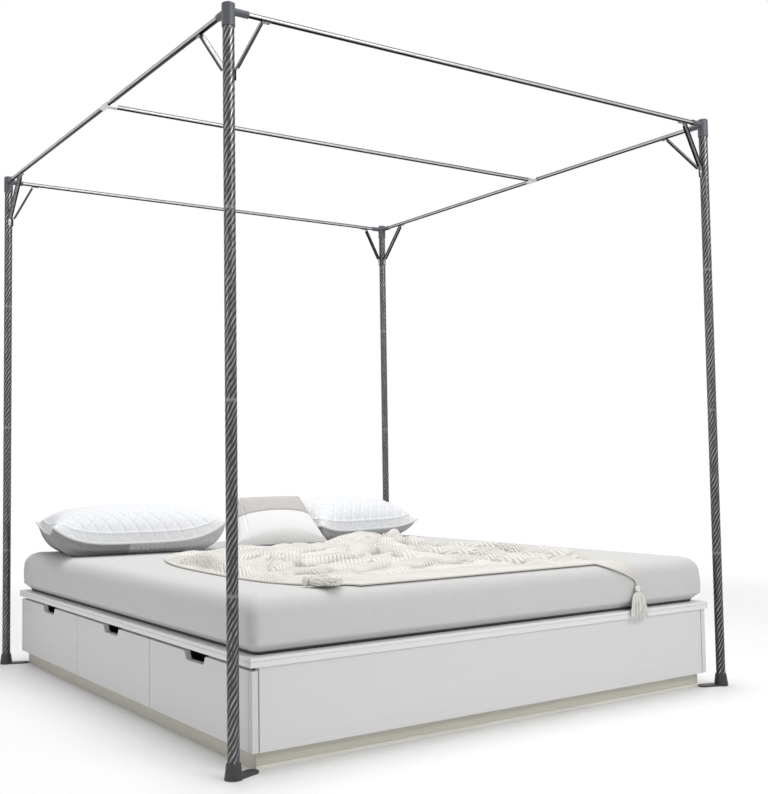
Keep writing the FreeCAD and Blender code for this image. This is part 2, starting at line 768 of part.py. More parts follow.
def make_bedding():
    save("mattress", mattress())
    save("pillow_left", pillow(left_pillow_x, left_pillow_from_head, left_pillow_turn,
                               left_pillow_length, left_pillow_crown, left_pillow_ear_lift))
    save("pillow_right", pillow(right_pillow_x, right_pillow_from_head, right_pillow_turn,
                                right_pillow_length, right_pillow_crown, right_pillow_ear_lift))
    save("cushion", cushion())
    save("throw", throw())
    save("throw_tassels", *tassels())


os.makedirs("parts", exist_ok=True)
make_canopy()
make_base()
make_drawers()
make_bedding()
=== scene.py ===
# %% [markdown]
# # A storage bed under a tubular canopy frame
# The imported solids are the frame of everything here. Hard pieces keep their solids and get finishes.
# Posts and bedding are drawn again as surfaces, because their looks come from relief and soft folds.

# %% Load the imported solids
import json
import math
import bpy
import bmesh
import numpy as np
from mathutils import Matrix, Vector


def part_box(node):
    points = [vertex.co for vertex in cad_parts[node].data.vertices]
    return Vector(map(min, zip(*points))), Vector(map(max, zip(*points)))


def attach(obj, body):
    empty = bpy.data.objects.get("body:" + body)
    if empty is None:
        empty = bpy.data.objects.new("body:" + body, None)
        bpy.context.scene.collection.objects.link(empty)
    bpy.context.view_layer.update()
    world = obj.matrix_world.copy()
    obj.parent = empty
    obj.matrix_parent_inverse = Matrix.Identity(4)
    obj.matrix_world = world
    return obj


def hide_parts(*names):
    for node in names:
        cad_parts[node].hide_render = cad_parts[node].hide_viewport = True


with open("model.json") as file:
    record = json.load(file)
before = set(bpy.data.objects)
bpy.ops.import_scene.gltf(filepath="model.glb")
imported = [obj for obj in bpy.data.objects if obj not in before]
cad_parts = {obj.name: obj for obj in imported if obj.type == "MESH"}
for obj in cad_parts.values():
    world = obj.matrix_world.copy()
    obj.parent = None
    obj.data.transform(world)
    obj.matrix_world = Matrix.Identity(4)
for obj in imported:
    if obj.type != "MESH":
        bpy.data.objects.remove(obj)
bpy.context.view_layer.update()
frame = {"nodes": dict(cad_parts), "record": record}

solids = frame["nodes"]

# %% [markdown]
# ## Meshes from arrays
# A surface is a function of two parameters worked out on a grid, so one helper turns a grid of points
# into quads and another puts the points into a mesh. Every piece then stays at the origin, as the solids do.


# %% Grid and mesh helpers
def grid_faces(rows, cols, close_rows=False, close_cols=False):
    """Quads of a rows x cols grid: each point joined to the next in its row and in its column."""
    i = np.arange(rows if close_rows else rows - 1)[:, None]
    j = np.arange(cols if close_cols else cols - 1)[None, :]
    ahead, beside = (i + 1) % rows, (j + 1) % cols
    corners = np.broadcast_arrays(i * cols + j, i * cols + beside, ahead * cols + beside, ahead * cols + j)
    return np.stack(corners, -1).reshape(-1, 4)


def mend_shell(mesh, weld=0.0):
    """Merge points closer than weld, or without one close each open ring of edges. Then turn all faces outwards."""
    shell = bmesh.new()
    shell.from_mesh(mesh)
    if weld:
        bmesh.ops.remove_doubles(shell, verts=shell.verts[:], dist=weld)
    else:
        bmesh.ops.holes_fill(shell, edges=shell.edges[:], sides=0)
    bmesh.ops.recalc_face_normals(shell, faces=shell.faces[:])
    shell.to_mesh(mesh)
    shell.free()


def put_mesh(name, points, faces, slot=None, uv=None, body="bed", fill=False):
    """A smooth mesh object from points and faces. uv gives one pair of numbers for each point."""
    mesh = bpy.data.meshes.new(name)
    mesh.from_pydata(np.asarray(points, float).reshape(-1, 3).tolist(), [], np.asarray(faces).tolist())
    if fill:
        mend_shell(mesh)
    if uv is not None:
        corner_point = np.empty(len(mesh.loops), np.int32)
        mesh.loops.foreach_get("vertex_index", corner_point)
        layer = mesh.uv_layers.new(name="UVMap")
        layer.data.foreach_set("uv", np.asarray(uv, np.float32).reshape(-1, 2)[corner_point].ravel())
    mesh.polygons.foreach_set("use_smooth", np.ones(len(mesh.polygons), bool))
    piece = bpy.data.objects.new(name, mesh)
    bpy.context.scene.collection.objects.link(piece)
    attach(piece, body)
    return piece


def point_values(piece, name, values):
    """Keep one number for each point as an attribute that a material can read."""
    layer = piece.data.attributes.new(name, "FLOAT", "POINT")
    layer.data.foreach_set("value", np.asarray(values, np.float32).ravel())


def get_points(mesh):
    """The mesh's points, one row of x, y and z for each."""
    points = np.empty(len(mesh.vertices) * 3, np.float32)
    mesh.vertices.foreach_get("co", points)
    return points.reshape(-1, 3).astype(float)


def circle(count):
    """Angles of points spaced evenly round a circle."""
    return np.linspace(0.0, 2.0 * np.pi, count, endpoint=False)


def smooth_step(low, high, x):
    """0 below low, 1 above high, and the S curve 3t^2 - 2t^3 between them."""
    t = np.clip((x - low) / (high - low), 0.0, 1.0)
    return t * t * (3.0 - 2.0 * t)


print("a grid of 3 x 4 points has", len(grid_faces(3, 4)), "quads")

# %% [markdown]
# ## Finishes
# Several finishes share an effect: streaks along brushed steel and board grain, and woven threads in cotton.
# Each is a node group that gives only values that vary over the surface. The shader stays in the material.


# %% Node helpers
def add_node(tree, kind, inputs=(), **settings):
    """A shader node with its settings, and its inputs given as values or as sockets to link."""
    node = tree.nodes.new("ShaderNode" + kind)
    for key, value in settings.items():
        setattr(node, key, value)
    for key, value in dict(inputs).items():
        if isinstance(value, bpy.types.NodeSocket):
            tree.links.new(value, node.inputs[key])
        else:
            node.inputs[key].default_value = value
    return node


def add_math(tree, operation, a, b=0.0):
    """The result of one Math node."""
    return add_node(tree, "Math", {0: a, 1: b}, operation=operation).outputs[0]


def add_range(tree, value, low, high, to_low=0.0, to_high=1.0):
    """Stretch a value from one range to another, held at the ends."""
    return add_node(tree, "MapRange", {0: value, 1: low, 2: high, 3: to_low, 4: to_high}).outputs[0]


def add_mix(tree, share, first, second):
    """A colour between two colours."""
    return add_node(tree, "Mix", {0: share, 6: first, 7: second}, data_type="RGBA").outputs[2]


def add_noise(tree, place, scale, detail):
    """Cloudy noise between 0 and 1."""
    return add_node(tree, "TexNoise", {"Vector": place, "Scale": scale, "Detail": detail}).outputs[0]


def add_kept(tree, name):
    """The number that a mesh keeps on its points under this name."""
    return add_node(tree, "Attribute", attribute_name=name).outputs["Fac"]


def add_bump(tree, height, strength, depth):
    """A normal from a height. strength is a plain share and depth is in metres."""
    return add_node(tree, "Bump", {"Strength": strength, "Distance": depth, "Height": height}).outputs[0]


print("node helpers:", [made for made in dir() if made.startswith("add_")])

# %% [markdown]
# A group is a small node tree of its own. Its sockets are named once, and each material that places it gives its own
# values there.


# %% Group helpers
def new_group(name, inputs, outputs):
    """A shader node group with named sockets, and the sockets to read from and to write to inside it."""
    group = bpy.data.node_groups.new(name, "ShaderNodeTree")
    for way, sockets in (("INPUT", inputs), ("OUTPUT", outputs)):
        for label, kind in sockets.items():
            group.interface.new_socket(name=label, in_out=way, socket_type="NodeSocket" + kind)
    return group, group.nodes.new("NodeGroupInput").outputs, group.nodes.new("NodeGroupOutput").inputs


def add_group(tree, group, inputs):
    """A group placed in a material with its own values. Gives the group's outputs."""
    return add_node(tree, "Group", inputs, node_tree=group).outputs


def grey(level):
    """A neutral colour of one level."""
    return (level, level, level, 1.0)


print("a mid grey:", grey(0.18))

# %% [markdown]
# Streaks are fine noise, drawn out by the material that uses them, and clouds are the same noise at a large scale.
# Threads are two crossed sine waves with a pitch in metres, so cloth needs no map for its weave.

# %% Shared effects
streaks, taken, given = new_group("streaks", {"Vector": "Vector", "Fineness": "Float"},
                                  {"Streak": "Float", "Cloud": "Float"})
fine_noise = add_noise(streaks, taken["Vector"], taken["Fineness"], 5.0)
streaks.links.new(add_range(streaks, fine_noise, 0.3, 0.7), given["Streak"])
streaks.links.new(add_range(streaks, add_noise(streaks, taken["Vector"], 3.0, 3.0), 0.35, 0.65), given["Cloud"])

threads, taken, given = new_group("woven threads", {"Vector": "Vector", "Pitch": "Float"},
                                  {"Height": "Float", "Slub": "Float"})
thread_axes = add_node(threads, "SeparateXYZ", {0: taken["Vector"]}).outputs
turns = add_math(threads, "DIVIDE", 2.0 * math.pi, taken["Pitch"])
across = add_math(threads, "ADD", thread_axes[0], add_math(threads, "MULTIPLY", thread_axes[2], 0.7))
along = add_math(threads, "ADD", thread_axes[1], add_math(threads, "MULTIPLY", thread_axes[2], 0.7))
warp = add_math(threads, "SINE", add_math(threads, "MULTIPLY", across, turns))
weft = add_math(threads, "SINE", add_math(threads, "MULTIPLY", along, turns))
threads.links.new(add_range(threads, add_math(threads, "MULTIPLY", warp, weft), -1.0, 1.0), given["Height"])
threads.links.new(add_noise(threads, taken["Vector"], 60.0, 4.0), given["Slub"])
print("shared effects:", streaks.name, "and", threads.name)

# %% [markdown]
# A finish starts from one Principled shader. Constants go straight on its sockets, and only what varies is linked.


# %% Start of a finish
finishes = {}


def new_finish(slot, **sockets):
    """A material with one Principled shader. Names with underscores are the shader's sockets."""
    material = bpy.data.materials.new(slot)
    material.use_nodes = True
    tree = material.node_tree
    shader = tree.nodes["Principled BSDF"]
    for key, value in sockets.items():
        shader.inputs[key.replace("_", " ")].default_value = value
    finishes[slot] = material
    return tree, shader


def feed(tree, shader, **varying):
    """Link what varies over the surface to the shader's sockets, named as in new_finish."""
    for key, value in varying.items():
        tree.links.new(value, shader.inputs[key.replace("_", " ")])


def coat(piece, finish):
    """Put a finish on a piece in place of any other."""
    piece.data.materials.clear()
    piece.data.materials.append(finishes[finish])


def object_place(tree, stretch=(1.0, 1.0, 1.0)):
    """Object coordinates in metres, stretched along the axes."""
    place = add_node(tree, "TexCoord").outputs["Object"]
    return add_node(tree, "Mapping", {"Vector": place, "Scale": stretch}).outputs[0]


print("finishes so far:", len(finishes))

# %% [markdown]
# ## Steel tube and sheet
# Rails and braces are drawn tube and pressed sheet. Fine streaks run along the draw, so the noise is
# stretched along the rails and left almost round on the pressed pieces. The rails get painted shade, dark grey
# where they face up and near-black where they face down, with a bright side between. The braces get painted
# shade along their edges.

# %% Steel finishes
post_x, post_y = 0.9525, 1.04


def from_brace_middle(tree):
    """Distance from the middle line of the nearest brace strip, which lies straight in from a post's axis."""
    place = add_node(tree, "SeparateXYZ", {0: object_place(tree)}).outputs
    off_x = add_math(tree, "SUBTRACT", add_math(tree, "ABSOLUTE", place[0]), post_x)
    off_y = add_math(tree, "SUBTRACT", add_math(tree, "ABSOLUTE", place[1]), post_y)
    return add_math(tree, "MINIMUM", add_math(tree, "ABSOLUTE", off_x), add_math(tree, "ABSOLUTE", off_y))


def steel(slot, dark, light, rough, stretch, fineness, depth, under=0.0, rolled=0.0):
    """Streaked metal. If under is given, painted shade makes the top dark grey and the underside that dark.
    rolled is the half width of a strip with painted shade along its edges.
    """
    tree, shader = new_finish(slot, Metallic=1.0)
    mark = add_group(tree, streaks, {"Vector": object_place(tree, stretch), "Fineness": fineness})
    colour = add_mix(tree, mark["Streak"], dark, light)
    if under:
        # Painted shade: dark grey where the surface faces up, near-black where it faces down.
        level = add_node(tree, "SeparateXYZ", {0: add_node(tree, "NewGeometry").outputs["Normal"]}).outputs[2]
        colour = add_mix(tree, add_range(tree, level, -0.05, 0.3), colour, grey(0.07))
        colour = add_mix(tree, add_range(tree, level, -0.45, -0.65), colour, grey(under))
    if rolled:
        # Painted shade along both long edges of a brace strip.
        at_edge = add_range(tree, from_brace_middle(tree), 0.45 * rolled, 0.75 * rolled)
        colour = add_mix(tree, at_edge, colour, grey(0.025))
    feed(tree, shader, Base_Color=colour, Normal=add_bump(tree, mark["Streak"], 0.25, depth),
         Roughness=add_range(tree, mark["Cloud"], 0.0, 1.0, rough - 0.05, rough + 0.08))


steel("rail_steel", grey(0.42), (0.6, 0.605, 0.62, 1), rough=0.36, stretch=(1, 1, 6), fineness=40.0, depth=0.0002,
      under=0.012)
steel("brace_steel", grey(0.16), (0.36, 0.36, 0.375, 1), rough=0.42, stretch=(1, 1, 1), fineness=90.0, depth=0.0002,
      rolled=0.009)
steel("tee_metal", grey(0.55), (0.7, 0.705, 0.72, 1), rough=0.2, stretch=(1, 1, 1), fineness=60.0, depth=0.0001)
steel("runner_steel", grey(0.42), (0.52, 0.52, 0.54, 1), rough=0.3, stretch=(1, 6, 6), fineness=50.0, depth=0.0001)
print("steel finishes:", sorted(finishes))

# %% [markdown]
# ## Moulded plastic
# Caps and shoes are moulded plastic with a fine spark-eroded grain. Voronoi cells a millimetre across give that
# grain.


# %% Plastic finishes
def moulded(slot, dark, light, rough):
    """Plastic with clouds in its colour, streaks in its gloss and a fine grain."""
    tree, shader = new_finish(slot)
    place = object_place(tree)
    grain = add_node(tree, "TexVoronoi", {"Vector": place, "Scale": 900.0}).outputs["Distance"]
    mark = add_group(tree, streaks, {"Vector": place, "Fineness": 30.0})
    feed(tree, shader, Base_Color=add_mix(tree, mark["Cloud"], dark, light), Normal=add_bump(tree, grain, 0.3, 0.0002),
         Roughness=add_range(tree, mark["Streak"], 0.0, 1.0, rough - 0.06, rough + 0.1))


moulded("cap_plastic", (0.075, 0.08, 0.096, 1), (0.11, 0.116, 0.136, 1), rough=0.42)
moulded("shoe_plastic", (0.02, 0.02, 0.022, 1), (0.04, 0.04, 0.043, 1), rough=0.5)
moulded("seal_plastic", (0.73, 0.72, 0.67, 1), (0.8, 0.79, 0.74, 1), rough=0.4)
print("with plastics:", len(finishes))

# %% [markdown]
# ## Laminated board
# The base is faced board. Its print has faint level streaks, so the noise is squeezed in height and drawn out in
# length.


# %% Board finishes
def laminate(slot, pale, deep, rough, stretch, depth):
    """Faced board whose printed streaks follow the stretch."""
    tree, shader = new_finish(slot)
    mark = add_group(tree, streaks, {"Vector": object_place(tree, stretch), "Fineness": 6.0})
    feed(tree, shader, Base_Color=add_mix(tree, mark["Streak"], deep, pale),
         Roughness=add_range(tree, mark["Cloud"], 0.0, 1.0, rough, rough + 0.12),
         Normal=add_bump(tree, mark["Streak"], 0.15, depth))


fine_grain, open_grain, coarse_grain = (1.2, 1.2, 40.0), (1.2, 1.2, 25.0), (2.0, 2.0, 20.0)
laminate("board_white", (0.82, 0.82, 0.825, 1), (0.775, 0.775, 0.78, 1), 0.38, open_grain, depth=0.0002)
laminate("panel_white", (0.715, 0.71, 0.712, 1), (0.695, 0.69, 0.692, 1), 0.42, fine_grain, depth=0.0001)
laminate("drawer_white", (0.69, 0.695, 0.7, 1), (0.67, 0.675, 0.68, 1), 0.42, fine_grain, depth=0.0001)
# The carcass board is set dark as painted shade, so the gap under the platform reads dark.
laminate("carcass_board", (0.46, 0.45, 0.43, 1), (0.4, 0.39, 0.375, 1), 0.5, coarse_grain, depth=0.0002)
laminate("plinth_beige", (0.6, 0.578, 0.505, 1), (0.54, 0.518, 0.45, 1), 0.45, fine_grain, depth=0.0003)
print("hard finishes:", sorted(finishes))

# %% [markdown]
# ## Embossed posts
# Each post is a dark steel tube rolled with a spiral emboss, so it looks like twisted rope. A tube with its
# radius pressed in along helical lines gives real relief that also shows at the outline. At each joint
# between two lengths the emboss stops and a bright swaged ring shows.

# %% Post shape
post_radius = 0.016
emboss_depth = 0.0007
spiral_starts = 8
spiral_lead = 0.176
joint_heights = np.array([0.465, 0.972, 1.479])
post_step, post_spokes = 0.003, 60


def embossed_post(name):
    """Radius at angle a and height z: the tube's less the depth * (1 - |sin(starts * (a / 2 - pi z / lead) + w)|)^1.5.

    w is a small wave along the post, because a rolled emboss is never quite even. Joints are plain, with a groove.
    """
    low, high = (np.array(c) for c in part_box(name))
    z = np.arange(low[2], high[2], post_step)[:, None]
    a = circle(post_spokes)[None, :]
    uneven = 0.3 * np.sin(31.0 * z + 2.0 * a) + 0.2 * np.sin(83.0 * z - a)
    valley = (1.0 - np.abs(np.sin(spiral_starts * (a / 2.0 - np.pi * z / spiral_lead) + uneven))) ** 1.5
    to_joint = np.abs(z[:, :, None] - joint_heights).min(-1)
    plain = 1.0 - smooth_step(0.003, 0.006, to_joint)
    seam = np.exp(-(to_joint / 0.0016) ** 2)
    valley = valley * (1.0 - plain)
    radius = post_radius - emboss_depth * (valley + 0.8 * seam)
    x, y = (low[:2] + high[:2]) / 2.0
    points = np.stack([x + radius * np.cos(a), y + radius * np.sin(a), z + 0.0 * a], -1)
    faces = grid_faces(*points.shape[:2], close_cols=True)
    post = put_mesh(name + "_embossed", points, faces, "post_steel", fill=True)
    point_values(post, "valley", valley + 0.0 * a)
    point_values(post, "ring", (plain - seam) + 0.0 * a)
    coat(post, "post_steel")
    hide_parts(name)
    return post


print("spiral rises", round(spiral_lead / spiral_starts * 1000.0, 1), "mm from one ridge to the next")

# %% [markdown]
# The ridges get a painted highlight and the hollows painted shade. The numbers that shaped the relief are kept on
# the points, so the colour follows it exactly.

# %% Post finish
tree, shader = new_finish("post_steel", Metallic=1.0)
mark = add_group(tree, streaks, {"Vector": object_place(tree, (1, 1, 0.2)), "Fineness": 120.0})
in_valley = add_kept(tree, "valley")
on_ring = add_kept(tree, "ring")
# Painted highlight on the ridges, streaked like the steel, and painted shade in the hollows.
ridge = add_mix(tree, mark["Streak"], grey(0.1), (0.34, 0.335, 0.345, 1))
hollow = add_mix(tree, mark["Cloud"], grey(0.03), grey(0.075))
worn = add_mix(tree, add_range(tree, in_valley, 0.0, 0.18), ridge, hollow)
feed(tree, shader, Base_Color=add_mix(tree, on_ring, worn, grey(0.17)),
     Roughness=add_range(tree, mark["Cloud"], 0.0, 1.0, 0.24, 0.34),
     Normal=add_bump(tree, mark["Streak"], 0.2, 0.0003))
corner_names = ["front_left", "front_right", "rear_left", "rear_right"]
posts = [embossed_post("post_" + corner) for corner in corner_names]
print("posts:", len(posts), "quads each:", len(posts[0].data.polygons))

# %% [markdown]
# ## Finishes on the solids
# The record names a slot for every solid, so each solid takes the finish of its slot. Sharp board edges get
# a small live bevel that catches the light. The solids are loose triangles, so a weld comes first.

# %% Dress the solids
for part in frame["record"]["subparts"]:
    if part["material_slot"] in finishes:
        coat(solids[part["node"]], part["material_slot"])
boards = [name for name in solids if name.startswith(("platform_", "plinth_")) or name.endswith(("_face", "_panel"))
          or name in ("corner_stiles", "partition", "divider_front", "divider_rear", "right_bearers")]
for name in boards:
    weld = solids[name].modifiers.new("weld", "WELD")
    weld.merge_threshold = 0.00001
    edge = solids[name].modifiers.new("edge", "BEVEL")
    edge.width = 0.0012
    edge.segments = 2
    edge.limit_method = "ANGLE"
print("boards with eased edges:", len(boards))

# %% [markdown]
# ## Brace screws
# Each brace is held by a pan-head screw in the post and one in the rail. A head is a profile turned about
# its axis, with a cross pressed into the dome. Sixteen heads fit in one mesh.

# %% Screw heads
head_radius, head_rise, head_rings, head_spokes = 0.0042, 0.0022, 9, 28
cross_depth, cross_half, cross_reach = 0.0012, 0.0006, 0.0028
rail_height, rail_radius = 2.01, 0.008
brace_drop, end_reach, side_reach, sheet = 0.175, 0.112, 0.18, 0.0018


def screw_head(seat, out):
    """A dome h(r) = 2.2 mm * sqrt(1 - (r / 4.2 mm)^2), less a cross where |u| or |v| is small.

    It is set on seat along out.
    """
    r = np.linspace(head_radius, 0.0002, head_rings)[:, None]
    a = circle(head_spokes)[None, :]
    u, v = r * np.cos(a), r * np.sin(a)
    cross = cross_depth * (np.minimum(np.abs(u), np.abs(v)) < cross_half) * (r < cross_reach)
    h = head_rise * np.sqrt(np.clip(1.0 - (r / head_radius) ** 2, 0.0, 1.0)) - cross
    out = np.array(out, float)
    side = np.cross(out, [0.3, 0.5, 0.8])
    side /= np.linalg.norm(side)
    return np.array(seat) + u[..., None] * side + v[..., None] * np.cross(out, side) + h[..., None] * out


heads = []
for sx in (-1, 1):
    for sy in (-1, 1):
        x, y = sx * post_x, sy * post_y
        near = post_radius + sheet
        heads += [screw_head((x - sx * near, y, rail_height - brace_drop), (-sx, 0, 0)),
                  screw_head((x, y - sy * near, rail_height - brace_drop), (0, -sy, 0)),
                  screw_head((x - sx * end_reach, y, rail_height - rail_radius - sheet), (0, 0, -1)),
                  screw_head((x, y - sy * side_reach, rail_height - rail_radius - sheet), (0, 0, -1))]
heads = np.array(heads)
one_head = grid_faces(head_rings, head_spokes, close_cols=True)
head_faces = np.concatenate([one_head + i * head_rings * head_spokes for i in range(len(heads))])
screws = put_mesh("brace_screw_heads", heads, head_faces, "brace_steel", fill=True)
coat(screws, "tee_metal")
print("screw heads:", len(heads))

# %% [markdown]
# ## Mattress in its fitted sheet
# The mattress is foam with a stretched sheet. Rings that follow its rounded outline climb the side, roll over
# the top edge and run in to the middle. The sheet pulls into faint creases at the corners, and a near-black
# band of painted shade round the bottom of the sheet stands in for the shadow gap above the board.


# %% Cotton finish
def cotton(slot, pale, shade, pitch, depth, sheen):
    """Woven cotton with thicker and thinner yarn in its colour, and its threads as a fine bump.

    Gives its parts, so that a second colour can be mixed in.
    """
    tree, shader = new_finish(slot, Roughness=0.85, Sheen_Weight=sheen, Sheen_Roughness=0.5)
    weave = add_group(tree, threads, {"Vector": object_place(tree), "Pitch": pitch})
    plain = add_mix(tree, weave["Slub"], shade, pale)
    feed(tree, shader, Base_Color=plain, Normal=add_bump(tree, weave["Height"], 0.35, depth))
    return tree, shader, weave, plain


tree, shader, weave, cover = cotton("mattress_cover", (0.64, 0.637, 0.633, 1), (0.59, 0.587, 0.583, 1),
                                    pitch=0.0016, depth=0.0003, sheen=0.1)
# Painted shade: near-black along the bottom of the sheet, for the shadow gap above the board.
feed(tree, shader, Base_Color=add_mix(tree, add_kept(tree, "base"), cover, grey(0.02)))
bed_low, bed_high = (np.array(c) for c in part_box("mattress"))
bed_top = bed_high[2]
print("mattress from", bed_low.round(3).tolist(), "to", bed_high.round(3).tolist())

# %% [markdown]
# A cube with a bevel would give one round everywhere, but the foot, the top edge and the upright corners each have
# their own. A ring with an inset and a height of its own for each level gives all three.

# %% Mattress
edge_round, foot_round = 0.06, 0.03
side_corner, top_corner = 0.03, 0.004
foot_rings, side_rings, top_rings = 9, 9, 45
drawn_in, middle_inset, underside_insets = 0.0025, 0.894, [0.3, 0.1]
crease_x, crease_y = 0.86, 0.99


def rounded_ring(inset, height):
    """Points round a rectangle with arc corners, drawn in by inset: side runs joined by quarter arcs."""
    half = bed_high[:2][None, :] - inset[:, None]
    radius = np.maximum(top_corner + (side_corner - top_corner) * (1.0 - inset / edge_round), 0.003)[:, None]
    turn = np.linspace(0.0, 0.5 * np.pi, 12)[None, :]
    run = np.linspace(0.0, 1.0, 60)[None, 1:-1]
    arcs = []
    for k, (sx, sy) in enumerate(((1, 1), (-1, 1), (-1, -1), (1, -1))):
        a = turn + 0.5 * np.pi * k
        arcs.append(np.stack([sx * (half[:, :1] - radius) + radius * np.cos(a),
                              sy * (half[:, 1:] - radius) + radius * np.sin(a)], -1))
    ring = []
    for k in range(4):
        start, end = arcs[k][:, -1:], arcs[(k + 1) % 4][:, :1]
        ring += [arcs[k], start + (end - start) * run[..., None]]
    plan = np.concatenate(ring, 1)
    return np.concatenate([plan, np.broadcast_to(height[:, None, None], plan.shape[:2] + (1,))], -1)


up = np.linspace(0.0, 0.5 * np.pi, 9)
from_foot = np.linspace(0.0, 1.0, foot_rings)
bow = drawn_in * (1.0 - np.sin(np.linspace(0.1, 0.9, side_rings) * np.pi))
inset = np.concatenate([underside_insets, foot_round * (1.0 - from_foot ** 1.4) + drawn_in, bow,
                        edge_round * (1 - np.cos(up)) + drawn_in,
                        np.linspace(edge_round, middle_inset, top_rings + 1)[1:]])
low, side_low, side_high = bed_low[2], bed_low[2] + foot_round, bed_top - edge_round
height = np.concatenate([[low, low], low + foot_round * from_foot,
                         np.linspace(side_low, side_high, side_rings + 2)[1:-1],
                         side_high + edge_round * np.sin(up), np.full(top_rings, bed_top)])
skin = rounded_ring(inset, height)
share = np.clip((height - side_low) / (side_high - side_low), 0.0, 1.0)[:, None]
x, y = skin[..., 0], skin[..., 1]
to_corner = np.hypot(np.abs(x) - crease_x, np.abs(y) - crease_y)
crease = np.exp(-to_corner / 0.11) * np.sin(38.0 * (np.abs(x) - np.abs(y)) + 26.0 * skin[..., 2]) * 0.0022
sag = 0.0018 * np.sin(2.6 * x + 0.8) * np.sin(2.1 * y - 0.4) * smooth_step(0.05, 0.25, inset)[:, None]
skin[..., :2] *= 1.0 - (np.abs(crease) * (share > 0) * (inset < 0.06)[:, None])[..., None]
skin[..., 2] += np.where(inset[:, None] > 0.03, sag - 0.0015 + crease * 0.6, 0.0)
rings = grid_faces(*skin.shape[:2], close_cols=True)
mattress = put_mesh("mattress_sheet", skin, rings, "mattress_cover", fill=True)
# Painted shade: the lowest few millimetres of the sheet are marked for the near-black band.
point_values(mattress, "base", (1.0 - smooth_step(low + 0.0068, low + 0.0105, height))[:, None] + 0.0 * x)
coat(mattress, "mattress_cover")
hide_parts("mattress")
print("mattress rings:", len(inset), "top at", round(float(skin[..., 2].max()), 4))

# %% [markdown]
# ## Pillows
# A quilted pillow is a crowned top over a grey side band, with its corners lifted. A closed starting shape is
# made a little small, remeshed evenly and blown up as cloth, with its seam held. Quilting is pressed in afterwards,
# because the remesh would lose it.


# %% Closed skins
def turn_matrix(degrees, axis):
    """A turn about one axis as an array."""
    return np.array(Matrix.Rotation(math.radians(degrees), 3, axis))


def closed_skin(name, top, bottom):
    """One closed mesh from two grids that share their outline."""
    count = top.shape[0] * top.shape[1]
    faces = grid_faces(*top.shape[:2])
    points = np.concatenate([top.reshape(-1, 3), bottom.reshape(-1, 3)])
    piece = put_mesh(name, points, np.concatenate([faces, faces[:, ::-1] + count]))
    mend_shell(piece.data, weld=0.0004)
    return piece


def bake_modifiers(piece):
    """Make what the modifiers show the piece's own mesh."""
    shown = piece.evaluated_get(bpy.context.evaluated_depsgraph_get())
    mesh = bpy.data.meshes.new_from_object(shown)
    piece.modifiers.clear()
    piece.data = mesh
    mesh.polygons.foreach_set("use_smooth", np.ones(len(mesh.polygons), bool))


print("a quarter turn about Z:", turn_matrix(90.0, "Z").round(2).tolist())

# %% [markdown]
# Stuffing pushes the cover out evenly, which is what cloth under pressure does. The pull of the seam is there because
# points near it are held. A cap on the move keeps the pillow inside its solid.


# %% Blow up as cloth
cloth_frames = 20


def blow_up(piece, seam, voxel, pressure, cap):
    """Even remesh, then twenty frames of cloth under pressure without weight, with points near the seam held."""
    remesh = piece.modifiers.new("remesh", "REMESH")
    remesh.mode = "VOXEL"
    remesh.voxel_size = voxel
    bake_modifiers(piece)
    start = get_points(piece.data)
    near = np.zeros(len(start), bool)
    for part in np.array_split(np.arange(len(start)), 40):
        near[part] = (((start[part, None, :] - seam[None, ::2, :]) ** 2).sum(-1).min(1) < 0.007 ** 2)
    held = piece.vertex_groups.new(name="seam")
    held.add(np.flatnonzero(near).tolist(), 1.0, "REPLACE")
    cloth = piece.modifiers.new("cloth", "CLOTH").settings
    cloth.vertex_group_mass = "seam"
    cloth.use_pressure = True
    cloth.uniform_pressure_force = pressure
    cloth.effector_weights.gravity = 0.0
    cloth.quality = 5
    for step in range(1, cloth_frames + 1):
        bpy.context.scene.frame_set(step)
    bake_modifiers(piece)
    moved = get_points(piece.data) - start
    length = np.linalg.norm(moved, axis=1, keepdims=True)
    moved *= np.minimum(1.0, cap / np.maximum(length, 1e-9))
    piece.data.vertices.foreach_set("co", (start + moved).astype(np.float32).ravel())
    piece.vertex_groups.clear()
    print(piece.name, "points:", len(start), "largest move:", round(float(length.max()), 4))


def split_smooth(piece):
    """One level of subdivision, made the piece's own mesh."""
    smooth = piece.modifiers.new("smooth", "SUBSURF")
    smooth.levels = smooth.render_levels = 1
    bake_modifiers(piece)


print("cloth runs for", cloth_frames, "frames")

# %% [markdown]
# Piping is a cord sewn into the seam. A curve with a bevel could make it, but a circle carried along the seam's own
# points follows every lift and dip of it.


# %% Seams and piping
def square_lap(steps):
    """u and v once round the square from -1 to 1, with this many steps on each side."""
    e = np.linspace(-1, 1, steps + 1)[:-1]
    one = np.ones_like(e)
    return np.concatenate([e, one, -e, -one]), np.concatenate([-one, e, one, -e])


def tube_along(path, radius, sides=8):
    """A closed tube: a circle of points carried round a closed path, level with the path's own side direction."""
    ahead = np.roll(path, -1, 0) - np.roll(path, 1, 0)
    ahead /= np.linalg.norm(ahead, axis=1, keepdims=True)
    side = np.cross(ahead, [0.0, 0.0, 1.0])
    side /= np.linalg.norm(side, axis=1, keepdims=True)
    over = np.cross(side, ahead)
    a = circle(sides)[None, :, None]
    points = path[:, None, :] + radius * (np.cos(a) * side[:, None, :] + np.sin(a) * over[:, None, :])
    return points, grid_faces(len(path), sides, close_rows=True, close_cols=True)[:, ::-1]


pillow_steps, cushion_steps, hem_steps = 89, 69, 159
print("points round a pillow's seam:", len(square_lap(pillow_steps)[0]))

# %% [markdown]
# The top is white cotton, and the side band is grey and darker at one end. The border reads a number kept on the
# points, so it follows the sewn seam.

